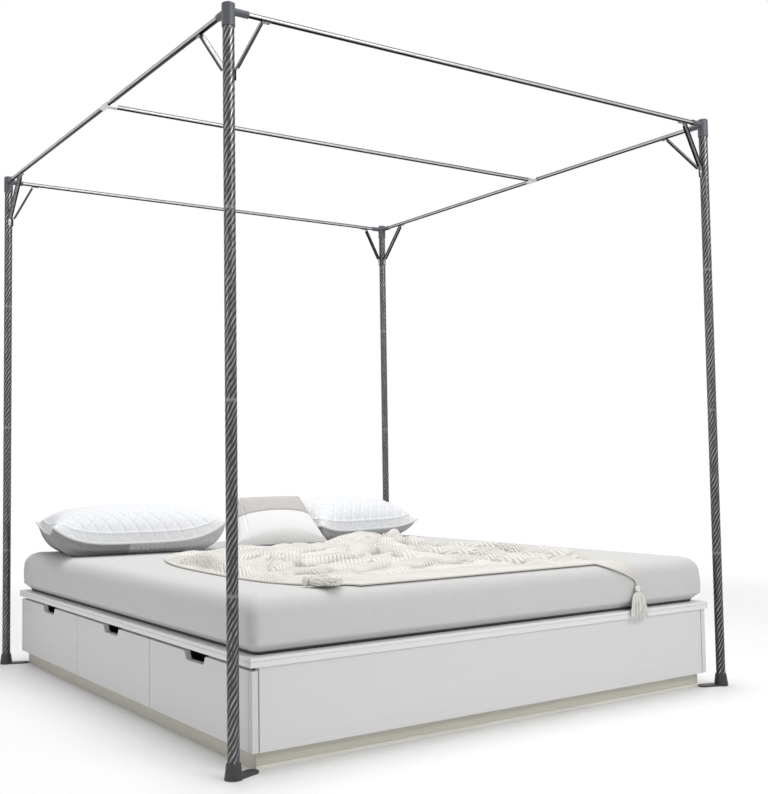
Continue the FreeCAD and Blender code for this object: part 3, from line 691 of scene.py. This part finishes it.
# %% Pillow finish
tree, shader, weave, white = cotton("pillow_quilt", (0.785, 0.795, 0.815, 1), (0.745, 0.755, 0.775, 1),
                                    pitch=0.0014, depth=0.0003, sheen=0.15)
pale_band = add_mix(tree, weave["Slub"], (0.5, 0.5, 0.505, 1), (0.62, 0.62, 0.625, 1))
dark_band = add_mix(tree, weave["Slub"], (0.25, 0.252, 0.256, 1), (0.34, 0.342, 0.346, 1))
band_colour = add_mix(tree, add_kept(tree, "tone"), pale_band, dark_band)
feed(tree, shader, Base_Color=add_mix(tree, add_kept(tree, "band"), white, band_colour))
cotton("piping_white", (0.76, 0.765, 0.775, 1), (0.7, 0.705, 0.71, 1), pitch=0.002, depth=0.0004, sheen=0.15)
print("pillow finishes: pillow_quilt, piping_white")

# %% [markdown]
# The sides draw in between the corners and the ends lift. A top grid and a base grid share that outline.

# %% Pillow body
seam_height = 0.046


def pillow_plan(u, v, half, reach, ear):
    """Plan point and seam height at (u, v): sides drawn in between the corners, ends lifted as u^4."""
    x = half * u * (1.0 - 0.035 * (1.0 - v ** 2) * u ** 2)
    y = reach * v * (1.0 - 0.085 * (1.0 - u ** 2) * v ** 2)
    return x, y, seam_height + ear * u ** 4 * (0.55 + 0.45 * v ** 2)


def pillow_body(name, place, spin, half, reach, crown, ear):
    """Top: seam + crown * ((1 - |u|^4)(1 - |v|^2.8))^0.55. Base: flat, rising to the seam near the outline.

    Gives the blown-up pillow and the points of its seam.
    """
    u, v = np.meshgrid(np.linspace(-1, 1, 61), np.linspace(-1, 1, 45), indexing="ij")
    x, y, seam = pillow_plan(u, v, half, reach, ear)
    swell = ((1.0 - np.abs(u) ** 4) * (1.0 - np.abs(v) ** 2.8)) ** 0.55
    under = ((1.0 - np.abs(u) ** 9) * (1.0 - np.abs(v) ** 9)) ** 0.5
    top = np.stack([x, y, seam + crown * swell], -1) @ spin + place
    bottom = np.stack([x, y, seam * (1.0 - under)], -1) @ spin + place
    pillow = closed_skin(name, top, bottom)
    lap = np.stack(pillow_plan(*square_lap(pillow_steps), half, reach, ear), -1) @ spin + place
    blow_up(pillow, lap, voxel=0.0063, pressure=4.0, cap=0.012)
    split_smooth(pillow)
    return pillow, lap


print("pillow seam lies", seam_height, "m above the mattress, and higher at the ends")

# %% [markdown]
# After the cloth has swelled, each point moves along its normal: in along the quilt lines, out at the welt, and in
# small rucks along the band. A displacement map could do it, but the relief has to follow the seam.

# %% Pillow relief
quilt_wide, quilt_long, quilt_depth, quilt_line = 0.054, 0.05, 0.003, 0.085
welt_height, welt_rise, welt_wide = 0.04, 0.0032, 0.0045
ruck_pitch, ruck_depth, seam_pull, seam_wide = 0.019, 0.0016, 0.0025, 0.003
piping_radius = 0.0046


def pillow_press(local, above, past_seam, band):
    """Quilt lines are bell curves on a diamond grid, the welt is one in height, and rucks are a sine that fades."""
    p, q = local[:, 0] / quilt_wide, local[:, 1] / quilt_long
    line = np.minimum(np.abs((p + q + 0.5) % 1.0 - 0.5), np.abs((p - q + 0.5) % 1.0 - 0.5))
    quilted = smooth_step(0.006, 0.02, above)
    press = -quilt_depth * np.exp(-(line / quilt_line) ** 2) * quilted
    press += welt_rise * np.exp(-((above - welt_height) / welt_wide) ** 2)
    ruck = np.sin(2.0 * np.pi * local[:, 0] / ruck_pitch + 40.0 * above) * smooth_step(0.01, 0.03, past_seam)
    fade = 1.0 - smooth_step(0.03, 0.32, past_seam)
    pinch = ruck_depth * ruck * fade - seam_pull * np.exp(-(past_seam / seam_wide) ** 2)
    return press + band * pinch * smooth_step(0.004, 0.012, local[:, 2])


def make_pillow(name, node, centre, turn, half, reach, crown, ear, band_seam, tones):
    """A pillow turned about Z and set on the mattress. band_seam is where the band's two tones meet."""
    spin = turn_matrix(turn, "Z").T
    place = np.array([centre[0], centre[1], bed_top + 0.0005])
    pillow, lap = pillow_body(name, place, spin, half, reach, crown, ear)
    local = (get_points(pillow.data) - place) @ spin.T
    here_u, here_v = np.clip(local[:, 0] / half, -1, 1), np.clip(local[:, 1] / reach, -1, 1)
    above = local[:, 2] - pillow_plan(here_u, here_v, half, reach, ear)[2]
    band = 1.0 - smooth_step(-0.004, 0.002, above)
    past_seam = local[:, 0] - band_seam
    normals = np.empty(len(local) * 3, np.float32)
    pillow.data.vertices.foreach_get("normal", normals)
    local += (normals.reshape(-1, 3) @ spin.T) * pillow_press(local, above, past_seam, band)[:, None]
    local[:, 2] = np.maximum(local[:, 2], 0.0)
    pillow.data.vertices.foreach_set("co", (local @ spin + place).astype(np.float32).ravel())
    point_values(pillow, "band", band)
    point_values(pillow, "tone", tones[0] + (tones[1] - tones[0]) * smooth_step(-0.002, 0.002, past_seam))
    coat(pillow, "pillow_quilt")
    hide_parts(node)
    coat(put_mesh(name + "_piping", *tube_along(lap, piping_radius), "pillow_quilt"), "piping_white")
    return pillow


left_pillow = make_pillow("quilted_pillow_left", "pillow_left", centre=(-0.543, 0.708), turn=-9.0, half=0.345,
                          reach=0.215, crown=0.142, ear=0.075, band_seam=-0.045, tones=(1.0, 0.1))
right_pillow = make_pillow("quilted_pillow_right", "pillow_right", centre=(0.49, 0.752), turn=11.0, half=0.3,
                           reach=0.215, crown=0.142, ear=0.03, band_seam=-0.1, tones=(0.6, 0.35))
print("pillows:", [len(p.data.polygons) for p in (left_pillow, right_pillow)])

# %% [markdown]
# ## Scatter cushion
# The cushion is two crowned faces with a side band, leaning back between the pillows. It is blown up in the same
# way. Its front has a greige panel over the upper part, which a number kept on the points marks.

# %% Cushion finish
tree, shader, weave, white = cotton("cushion_cotton", (0.81, 0.818, 0.818, 1), (0.765, 0.773, 0.773, 1),
                                    pitch=0.002, depth=0.0004, sheen=0.15)
greige = add_mix(tree, weave["Slub"], (0.46, 0.445, 0.43, 1), (0.55, 0.535, 0.52, 1))
feed(tree, shader, Base_Color=add_mix(tree, add_kept(tree, "panel"), white, greige))
print("cushion finish: cushion_cotton")

# %% [markdown]
# The cushion is narrower at its top, and its sides draw in. The panel's lower edge is turned under, so it stands a
# little proud with a groove below it, and two upright seams are pressed in near the sides.

# %% Cushion shape
cushion_half, cushion_reach = 0.186, 0.128
rim_thick, cushion_crown = 0.014, 0.04


def cushion_plan(u, v):
    """A rectangle that tapers from base to top, with its sides drawn in between the corners."""
    x = cushion_half * u * (1.0 - 0.12 * v) * (1.0 - 0.05 * (1.0 - v ** 2) * u ** 2)
    return x, cushion_reach * v * (1.0 - 0.05 * (1.0 - u ** 2) * v ** 2)


def make_cushion():
    """Half thickness: rim * sqrt(1 - max(|u|, |v|)^30) + crown * ((1 - u^2)(1 - |v|^2.6))^0.55."""
    u, v = np.meshgrid(np.linspace(-1, 1, 49), np.linspace(-1, 1, 41), indexing="ij")
    x, y = cushion_plan(u, v)
    rim = rim_thick * np.sqrt(np.clip(1.0 - np.maximum(np.abs(u), np.abs(v)) ** 30, 0.0, 1.0))
    thick = rim + cushion_crown * ((1.0 - u ** 2) * (1.0 - np.abs(v) ** 2.6)) ** 0.55
    tilt = turn_matrix(-4.0, "Z") @ turn_matrix(46.0, "X")
    front, back = np.stack([x, y, thick], -1) @ tilt.T, np.stack([x, y, -thick], -1) @ tilt.T
    place = np.array([0.022, 0.53, bed_top + 0.004 - min(front[..., 2].min(), back[..., 2].min())])
    cushion = closed_skin("scatter_cushion", front + place, back + place)
    edge = np.abs(np.maximum(np.abs(u), np.abs(v)) - 1.0) < 1e-6
    blow_up(cushion, (front + place)[edge], voxel=0.005, pressure=4.0, cap=0.008)
    split_smooth(cushion)
    local = (get_points(cushion.data) - place) @ tilt
    flap = 0.01 + 0.004 * np.cos(14.0 * local[:, 0]) - local[:, 1]
    on_front = smooth_step(-0.002, 0.006, local[:, 2])
    panel = (1.0 - smooth_step(-0.0015, 0.0015, flap)) * on_front
    local[:, 2] += 0.0035 * panel - 0.0025 * np.exp(-(flap / 0.003) ** 2) * on_front
    side_seam = np.exp(-((np.abs(local[:, 0]) - 0.142 + 0.1 * local[:, 1]) / 0.0035) ** 2)
    local[:, 2] -= 0.003 * side_seam * np.sign(local[:, 2])
    points = local @ tilt.T + place
    points[:, 2] = np.maximum(points[:, 2], bed_top + 0.0005)
    cushion.data.vertices.foreach_set("co", points.astype(np.float32).ravel())
    point_values(cushion, "panel", panel)
    coat(cushion, "cushion_cotton")
    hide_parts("cushion")
    rim_x, rim_y = cushion_plan(*square_lap(cushion_steps))
    rim_points = np.stack([rim_x, rim_y, 0.0 * rim_x], -1) @ tilt.T + place
    coat(put_mesh("cushion_piping", *tube_along(rim_points, 0.003), "cushion_cotton"), "piping_white")
    return cushion


cushion = make_cushion()
print("cushion faces:", len(cushion.data.polygons))

# %% [markdown]
# ## Knitted throw
# The throw lies in loose folds, is bunched into rolls along its right and rear sides, and one corner hangs over
# the mattress edge. It is one sheet on a grid. A function carries flat lengths round the mattress edge, so the
# hanging corner follows the real curve. Slanting ribs in columns give the leaf-like knit, and painted shade greys
# the cloth where it lies lower than its surroundings, in the creases.

# %% Leaf knit
leaf_knit, taken, given = new_group("leaf knit", {"Vector": "Vector"}, {"Rib": "Float", "Gap": "Float"})
flat_place = add_node(leaf_knit, "SeparateXYZ", {0: taken["Vector"]}).outputs


def rib_columns(width, pitch, slant):
    """Ribs sin(2 pi (across + slant * from spine) / pitch) that meet at a column's spine, and the gaps between them."""
    column = add_math(leaf_knit, "FRACT", add_math(leaf_knit, "DIVIDE", flat_place[1], width))
    from_spine = add_math(leaf_knit, "ABSOLUTE", add_math(leaf_knit, "SUBTRACT", column, 0.5))
    shift = add_math(leaf_knit, "MULTIPLY", from_spine, slant * width)
    turn = add_math(leaf_knit, "MULTIPLY", add_math(leaf_knit, "ADD", flat_place[0], shift), 2.0 * math.pi / pitch)
    wave = add_range(leaf_knit, add_math(leaf_knit, "SINE", turn), -1.0, 1.0)
    spine = add_range(leaf_knit, from_spine, 0.44, 0.5)
    return wave, add_math(leaf_knit, "MAXIMUM", add_range(leaf_knit, wave, 0.4, 0.1), spine)


leaf_wave, leaf_gap = rib_columns(width=0.15, pitch=0.017, slant=0.5)
zigzag_wave, zigzag_gap = rib_columns(width=0.05, pitch=0.012, slant=0.6)
band_wave = add_math(leaf_knit, "SINE", add_math(leaf_knit, "MULTIPLY", flat_place[1], 2.0 * math.pi / 0.45))
in_leaf = add_range(leaf_knit, band_wave, -0.15, -0.05)
for label, zigzag, leaf in (("Rib", zigzag_wave, leaf_wave), ("Gap", zigzag_gap, leaf_gap)):
    leaf_knit.links.new(add_node(leaf_knit, "Mix", {0: in_leaf, 2: zigzag, 3: leaf}).outputs[0], given[label])
print("knit group:", leaf_knit.name)

# %% [markdown]
# The knit follows the cloth, so it reads the sheet's own flat coordinates. Gaps between ribs get painted shade,
# deeper in random patches, and slubs of yarn break up both colour and height.

# %% Throw finish
tree, shader = new_finish("throw_knit", Roughness=0.9, Sheen_Weight=0.2, Sheen_Roughness=0.6)
flat_cloth = add_node(tree, "UVMap", uv_map="UVMap").outputs[0]
knit = add_group(tree, leaf_knit, {"Vector": flat_cloth})
wear = add_noise(tree, flat_cloth, 6.0, 3.0)
# Painted shade in the gaps between ribs, deeper in random patches.
open_gap = add_math(tree, "MULTIPLY", knit["Gap"], add_range(tree, wear, 0.38, 0.62, 0.25, 1.0))
slub = add_noise(tree, object_place(tree), 240.0, 4.0)
yarn = add_mix(tree, slub, (0.75, 0.73, 0.692, 1), (0.84, 0.825, 0.795, 1))
yarn = add_mix(tree, open_gap, yarn, (0.47, 0.43, 0.375, 1))
# Painted shade in the creases.
in_crease = add_range(tree, add_kept(tree, "crease"), 0.0, 1.0, 0.0, 0.8)
yarn_height = add_math(tree, "ADD", knit["Rib"], add_math(tree, "MULTIPLY", slub, 0.4))
feed(tree, shader, Base_Color=add_mix(tree, in_crease, yarn, (0.33, 0.3, 0.26, 1)),
     Normal=add_bump(tree, yarn_height, 0.7, 0.003))
print("finishes now:", len(finishes))

# %% [markdown]
# Cloth simulation could lay the throw, but not in these folds. Each kind of fold is a small function instead: soft
# ridges all over, long folds between two points, and round rolls.


# %% Folds
def over_edge(y, lift):
    """Carry a flat length y round the mattress edge: level, then a quarter arc, then straight down."""
    start = -bed_high[1] + edge_round
    run = np.maximum(start - y, 0.0)
    a = np.minimum(run / edge_round, 0.5 * np.pi)
    drop = np.maximum(run - 0.5 * np.pi * edge_round, 0.0)
    radius = edge_round + lift
    return np.maximum(y, start) - radius * np.sin(a), bed_top - edge_round + radius * np.cos(a) - drop


def ridges(x, y, angle, pitch, shift):
    """Rounded folds: (1 - |sin(pi * (across / pitch + shift))|)^1.4, across being the distance square to the folds."""
    across = x * math.cos(angle) + y * math.sin(angle)
    return (1.0 - np.abs(np.sin(np.pi * (across / pitch + shift)))) ** 1.4


def roll(across, middle, half):
    """A round roll of unit height: sqrt(1 - ((across - middle) / half)^2) inside its half width, 0 outside."""
    return np.sqrt(np.clip(1.0 - ((across - middle) / half) ** 2, 0.0, 1.0))


def fold_line(x, y, start, end, half):
    """A rounded fold from start to end, wavering to its sides and dying away as sin(pi * along)^0.5 at its ends."""
    run = np.subtract(end, start)
    length = np.hypot(*run)
    along = np.clip(((x - start[0]) * run[0] + (y - start[1]) * run[1]) / length ** 2, 0.0, 1.0)
    across = ((y - start[1]) * run[0] - (x - start[0]) * run[1]) / length
    return roll(across, 0.025 * np.sin(9.0 * along), half) * np.sqrt(np.sin(np.pi * along) + 1e-9)


fold_ends = [((-0.6, -0.5), (0.1, -0.2), 0.045, 0.026), ((-0.3, -0.82), (0.3, -0.5), 0.04, 0.022),
             ((-0.5, -0.05), (0.15, 0.16), 0.05, 0.028), ((-0.45, -0.8), (-0.05, -0.45), 0.03, 0.016),
             ((-0.1, -0.35), (0.28, 0.1), 0.045, 0.026), ((-0.35, 0.3), (0.2, 0.22), 0.04, 0.016),
             ((0.05, -0.85), (0.36, -0.55), 0.035, 0.02), ((-0.55, -0.62), (-0.3, -0.12), 0.035, 0.024),
             ((-0.62, -0.72), (-0.4, -0.66), 0.03, 0.02)]
print("long folds:", len(fold_ends))

# %% [markdown]
# The sheet's place and height add up from these folds. Rolls lie along the right, rear and left edges, the hem lies
# flat, and the front right corner is drawn to a point that hangs down.

# %% Throw surface
tip_x = 0.545


def throw_surface(s, t):
    """Plan and height at shares s (left to right) and t (hem to rear): loose folds, heaped up to the right and rear."""
    left = -0.712 + 0.19 * (1.0 - t) ** 14 + 0.24 * t ** 5
    right = 0.345 + 0.235 * (1.0 - 2.0 * t) ** 2
    x = left + (right - left) * (s - 0.035 * np.sin(2.0 * np.pi * s) + 0.05 * s * (1.0 - s))
    y = -0.984 + 1.384 * t + 0.02 * np.sin(9.0 * s + 2.0) * t
    sway = 0.5 * np.sin(4.1 * x + 2.3 * y + 0.5) + 0.3 * np.sin(7.3 * y - 3.9 * x + 1.1)
    side_rolls = (0.046 * roll(s, 0.92 + 0.018 * np.sin(9.0 * t), 0.046) * (0.85 + 0.15 * np.sin(23.0 * t))
                  + roll(s, 0.825 + 0.022 * np.sin(7.0 * t + 1.0), 0.048) * (0.0285 + 0.0095 * np.sin(17.0 * t + 2.0))
                  + roll(s, 0.73 + 0.03 * np.sin(6.0 * t + 2.2), 0.042) * (0.018 + 0.012 * np.sin(13.0 * t + 1.0)))
    heaps = (0.036 * roll(t, 0.94 + 0.012 * np.sin(17.0 * s), 0.034)
             + 0.03 * roll(t, 0.865 + 0.018 * np.sin(13.0 * s + 1.0), 0.036) * (0.7 + 0.3 * np.sin(31.0 * s)))
    folds = sum(height * fold_line(x, y, start, end, half) for start, end, half, height in fold_ends)
    tip_share = np.clip((t - 0.3) / 0.42, 0.0, 1.0)
    tip_roll = roll(s, 0.066 + 0.012 * np.sin(15.0 * t), 0.04) * np.sqrt(np.sin(np.pi * tip_share) + 1e-9)
    loose = 0.008 * ridges(x, y, 0.7, 0.31, sway) + 0.007 * ridges(x, y, 2.2, 0.19, 1.3 * sway)
    fine = 0.005 * ridges(x, y, 1.4, 0.1, 2.0 * sway)
    away = smooth_step(0.02, 0.16, t) * smooth_step(0.0, 0.06, s) * smooth_step(1.0, 0.985, t)
    inner = 1.0 - smooth_step(0.64, 0.72, s)
    rear_share = smooth_step(0.55, 0.7, s) * (1.0 - smooth_step(0.84, 0.89, s))
    heap = np.maximum(side_rolls, heaps * rear_share) + 0.033 * tip_roll
    lift = 0.0045 + away * (loose + fine + np.maximum(folds * inner, heap))
    corner = np.clip((s - 0.8) / 0.2 - t / 0.13, 0.0, 1.0) ** 0.7
    x = x + (tip_x - x) * corner ** 3
    y = y - 0.094 * corner
    pleat = 0.005 * np.sin(3.0 * np.pi * s / (1.0 - 0.6 * t) + 0.4) ** 2
    return x, y, lift * (1.0 - corner) + (0.005 + pleat * (1.0 - corner)) * corner


probe_lift = throw_surface(np.array([0.5, 0.92]), np.array([0.5, 0.5]))[2]
print("lift in the middle and on the right roll:", probe_lift.round(4).tolist())

# %% [markdown]
# The grid is laid as one sheet. A point that lies lower than the points around it is in a crease, and that number is
# kept for the finish, which paints shade there.

# %% Lay the throw
throw_rows, throw_cols, crease_reach = 260, 340, 6
knit_width, knit_length = 1.3, 1.6
s, t = np.meshgrid(np.linspace(0, 1, throw_rows), np.linspace(0, 1, throw_cols), indexing="ij")
x, y, lift = throw_surface(s, t)
ahead, tall = over_edge(y, lift)
cloth_points = np.stack([x, ahead, tall], -1)
upward = grid_faces(throw_rows, throw_cols)[:, ::-1]
flat_uv = np.stack([knit_width * s, knit_length * t], -1)
throw = put_mesh("knitted_throw", cloth_points, upward, "throw_knit", uv=flat_uv)
wide_lift = np.pad(lift, crease_reach, mode="edge")
steps = np.array([(6, 0), (-6, 0), (0, 6), (0, -6), (3, 3), (-3, 3), (3, -3), (-3, -3)]) + crease_reach
around = sum(wide_lift[i:i + throw_rows, j:j + throw_cols] for i, j in steps) / len(steps)
# Painted shade: how far each point lies below the points around it.
point_values(throw, "crease", smooth_step(0.002, 0.009, around - lift) * smooth_step(0.0, 0.12, s))
coat(throw, "throw_knit")
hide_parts("throw")

# %% [markdown]
# The hem is a thicker corded edge. A tube follows the outline of the sheet.

# %% Throw hem
hem_radius = 0.003
x, y, lift = throw_surface(*((share + 1.0) / 2.0 for share in square_lap(hem_steps)))
ahead, tall = over_edge(y, np.maximum(lift - 0.001, 0.0035))
hem = put_mesh("throw_hem", *tube_along(np.stack([x, ahead, tall], -1), hem_radius), "throw_knit")
tree, shader = new_finish("hem_cord", Roughness=0.9)
twist = add_noise(tree, object_place(tree), 400.0, 3.0)
feed(tree, shader, Base_Color=add_mix(tree, twist, (0.64, 0.615, 0.56, 1), (0.75, 0.73, 0.685, 1)),
     Normal=add_bump(tree, twist, 0.4, 0.001))
coat(hem, "hem_cord")
print("hem quads:", len(hem.data.polygons))

# %% [markdown]
# ## Tassels
# A tassel is a bundle of yarn tied under its head. Each strand is a thin tube that leaves the tie and spreads, and
# the tie is a few turns of yarn. One tassel hangs from the corner and one lies on the mattress.

# %% Tassel strands
strand_count, strand_steps, strand_sides = 110, 12, 5
strand_radius, tassel_neck, strand_drop = 0.0018, 0.022, 0.092


def tassel_strands(seed, curl):
    """Strand k at share w of its length: out from the neck by a bulge and a spread, with its own small wave."""
    pick = np.random.default_rng(seed)
    lane = np.linspace(-1.0, 1.0, strand_count)[:, None]
    deep = pick.uniform(-1.0, 1.0, (strand_count, 1)) * np.sqrt(1.0 - lane ** 2)
    length = pick.uniform(0.8, 1.0, (strand_count, 1))
    w = np.linspace(0.0, 1.0, strand_steps)[None, :]
    wave, sway = (curl * np.sin(9.0 * w + pick.uniform(0, 6.3, (strand_count, 1))) * w for _ in range(2))
    z = -tassel_neck - strand_drop * w * length * (1.0 - 0.08 * lane ** 2)
    clump = 0.045 * np.sin(2.0 * np.pi * 5.5 * lane) * w
    x = (lane - clump) * (0.009 + 0.031 * w ** 0.45) + wave
    y = deep * (0.006 + 0.0025 * np.sin(np.pi * np.minimum(w * 1.2, 1.0)) - 0.002 * w) + 0.4 * sway
    return np.stack([x, y, z], -1)


def strand_tubes(path):
    """A five-sided tube round each strand, thinner at its end."""
    a = circle(strand_sides)
    thin = strand_radius * (1.0 - 0.35 * np.linspace(0, 1, path.shape[1]) ** 3)[None, :, None]
    ring = np.stack([np.cos(a), np.sin(a), 0.0 * a], -1)
    points = path[:, :, None, :] + thin[..., None] * ring[None, None]
    one = grid_faces(path.shape[1], strand_sides, close_cols=True)
    size = path.shape[1] * strand_sides
    return points.reshape(-1, 3), np.concatenate([one + i * size for i in range(len(path))])


print("strands of one tassel:", strand_count, "over", strand_drop, "m")

# %% [markdown]
# The head is a profile turned about the tassel's line. The tie is ringed by small waves in the same profile, so the
# turns of yarn need no mesh of their own.

# %% Tassel head
head_levels, head_turns = 60, 28


def tassel_head():
    """A turned head: radius swells over the knot, dips at the tie and is ringed by turns of yarn."""
    z = np.linspace(0.0, 0.034, head_levels)[:, None]
    a = circle(head_turns)[None, :]
    radius = 0.0035 + 0.007 * np.sin(np.pi * np.clip(z / 0.022, 0, 1)) ** 0.7 + 0.004 * smooth_step(0.02, 0.024, z)
    tie = smooth_step(0.019, 0.021, z) * (1.0 - smooth_step(0.031, 0.033, z))
    radius = radius + 0.0006 * tie * np.sin(2.0 * np.pi * z / 0.0028) + 0.0004 * (1.0 - tie) * np.sin(14.0 * a)
    points = np.stack([radius * np.cos(a), 0.8 * radius * np.sin(a), -z + 0.0 * a], -1)
    return points.reshape(-1, 3), grid_faces(head_levels, head_turns, close_cols=True)


def make_tassel(seed, curl):
    """Points and faces of one tassel: its strands, then its head."""
    points, faces = strand_tubes(tassel_strands(seed, curl))
    head, head_quads = tassel_head()
    return np.concatenate([points, head]), np.concatenate([faces, head_quads + len(points)])


print("head points:", len(tassel_head()[0]))

# %% [markdown]
# The hanging tassel is turned so that it lies on the mattress side. The lying one is turned over and fluffed up, and
# rests on the top.

# %% Place the tassels
tip, laid_at, fluff = [tip_x, -1.0385, 0.379], [-0.672, -0.915, 0.0], [1.0, 1.9, 1.0]
hanging, quads = make_tassel(seed=3, curl=0.0024)
hanging = hanging @ turn_matrix(-4.6, "X").T + tip
lying = make_tassel(seed=8, curl=0.006)[0] * fluff
lying = lying @ (turn_matrix(-132.0, "Z") @ turn_matrix(90.0, "X")).T + laid_at
lying[:, 2] += bed_top + 0.0005 - lying[:, 2].min()
both_quads = np.concatenate([quads, quads + len(hanging)])
tassels = put_mesh("yarn_tassels", np.concatenate([hanging, lying]), both_quads, "tassel_yarn", fill=True)
tree, shader = new_finish("tassel_yarn", Roughness=0.9, Sheen_Weight=0.25)
twist = add_noise(tree, object_place(tree, (1, 1, 0.4)), 500.0, 3.0)
feed(tree, shader, Base_Color=add_mix(tree, twist, (0.72, 0.7, 0.65, 1), (0.86, 0.847, 0.81, 1)),
     Normal=add_bump(tree, twist, 0.4, 0.0008))
coat(tassels, "tassel_yarn")
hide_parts("throw_tassels")
print("tassel faces:", len(tassels.data.polygons))

# %% [markdown]
# ## Studio
# A pale floor, a large lamp overhead, one in front and a weak one from the left. The background is white
# to the camera and in reflections, and dimmer as a light, so pale cloth keeps its shade. The floor fades into that
# white away from the bed.

# %% Floor
floor_reach = 14.0
floor_mesh = bpy.data.meshes.new("floor")
floor_corners = floor_reach * np.array([[-1, -1, 0], [1, -1, 0], [1, 1, 0], [-1, 1, 0]])
floor_mesh.from_pydata(floor_corners.tolist(), [], [(0, 1, 2, 3)])
floor = bpy.data.objects.new("floor", floor_mesh)
bpy.context.scene.collection.objects.link(floor)
tree, shader = new_finish("pale_floor", Roughness=0.6, Base_Color=grey(0.9))
from_middle = add_node(tree, "VectorMath", {0: object_place(tree)}, operation="LENGTH").outputs["Value"]
fade = add_node(tree, "MixShader", {0: add_range(tree, from_middle, 2.0, 4.2), 1: shader.outputs[0],
                                    2: add_node(tree, "BsdfTransparent").outputs[0]})
tree.links.new(fade.outputs[0], tree.nodes["Material Output"].inputs["Surface"])
coat(floor, "pale_floor")
print("floor:", 2.0 * floor_reach, "m wide")

# %% [markdown]
# One value tells which rays look straight at the background: the camera and reflections see it white, and cloth gets
# a weaker light from it. The lamps are large, so shadows stay soft.

# %% Background and lamps
world = bpy.data.worlds.new("studio")
bpy.context.scene.world = world
world.use_nodes = True
tree = world.node_tree
sky = tree.nodes["Background"]
ray = add_node(tree, "LightPath").outputs
seen = add_math(tree, "MAXIMUM", add_math(tree, "MAXIMUM", ray["Is Camera Ray"], ray["Is Glossy Ray"]),
                ray["Is Transmission Ray"])
sky.inputs["Color"].default_value = grey(1.0)
tree.links.new(add_range(tree, seen, 0.0, 1.0, 0.4, 1.0), sky.inputs["Strength"])


def soft_lamp(name, place, aim, size, watts):
    """A rectangular lamp at place that faces aim."""
    lamp = bpy.data.lights.new(name, "AREA")
    lamp.shape = "RECTANGLE"
    lamp.size, lamp.size_y = size
    lamp.energy = watts
    holder = bpy.data.objects.new(name, lamp)
    bpy.context.scene.collection.objects.link(holder)
    away = np.array(place, float) - np.array(aim, float)
    away /= np.linalg.norm(away)
    side = np.cross([0.0, 0.0, 1.0], away)
    side /= np.linalg.norm(side)
    holder.matrix_world = Matrix(np.column_stack([side, np.cross(away, side), away]).tolist()).to_4x4()
    holder.location = place
    return holder


soft_lamp("key", (0.9, -4.6, 3.4), (0.0, 0.0, 0.4), (2.4, 1.6), 78.0)
soft_lamp("fill", (-4.6, -1.2, 2.0), (0.0, 0.0, 0.5), (2.5, 2.0), 17.0)
soft_lamp("top", (0.2, 0.3, 5.0), (0.0, 0.0, 0.0), (4.0, 4.0), 185.0)

# %% [markdown]
# ## Camera
# The camera's place and axes were fitted to the photograph's straight edges: post tops, feet and board corners.

# %% Camera
camera = bpy.data.cameras.new("camera")
focal_pixels, picture_height = 1097.75, 794.0
camera.sensor_width = 36.0
camera.lens = focal_pixels / picture_height * camera.sensor_width
camera.clip_end = 60.0
eye = bpy.data.objects.new("camera", camera)
bpy.context.scene.collection.objects.link(eye)
right, down, forward = np.array([[0.826343, -0.56296, -0.015245], [0.021048, 0.057924, -0.998099],
                                 [0.562773, 0.824452, 0.059714]])
eye.matrix_world = Matrix(np.column_stack([right, -down, -forward]).tolist()).to_4x4()
eye.location = (-2.2332, -3.6236, 0.8015)
bpy.context.scene.camera = eye
bpy.context.scene.view_settings.view_transform = "Standard"
print("camera at", list(eye.location), "lens", round(camera.lens, 2), "mm")

# %% [markdown]
# ## The end

# %% Finish
bpy.context.scene.frame_set(1)
bpy.context.view_layer.update()
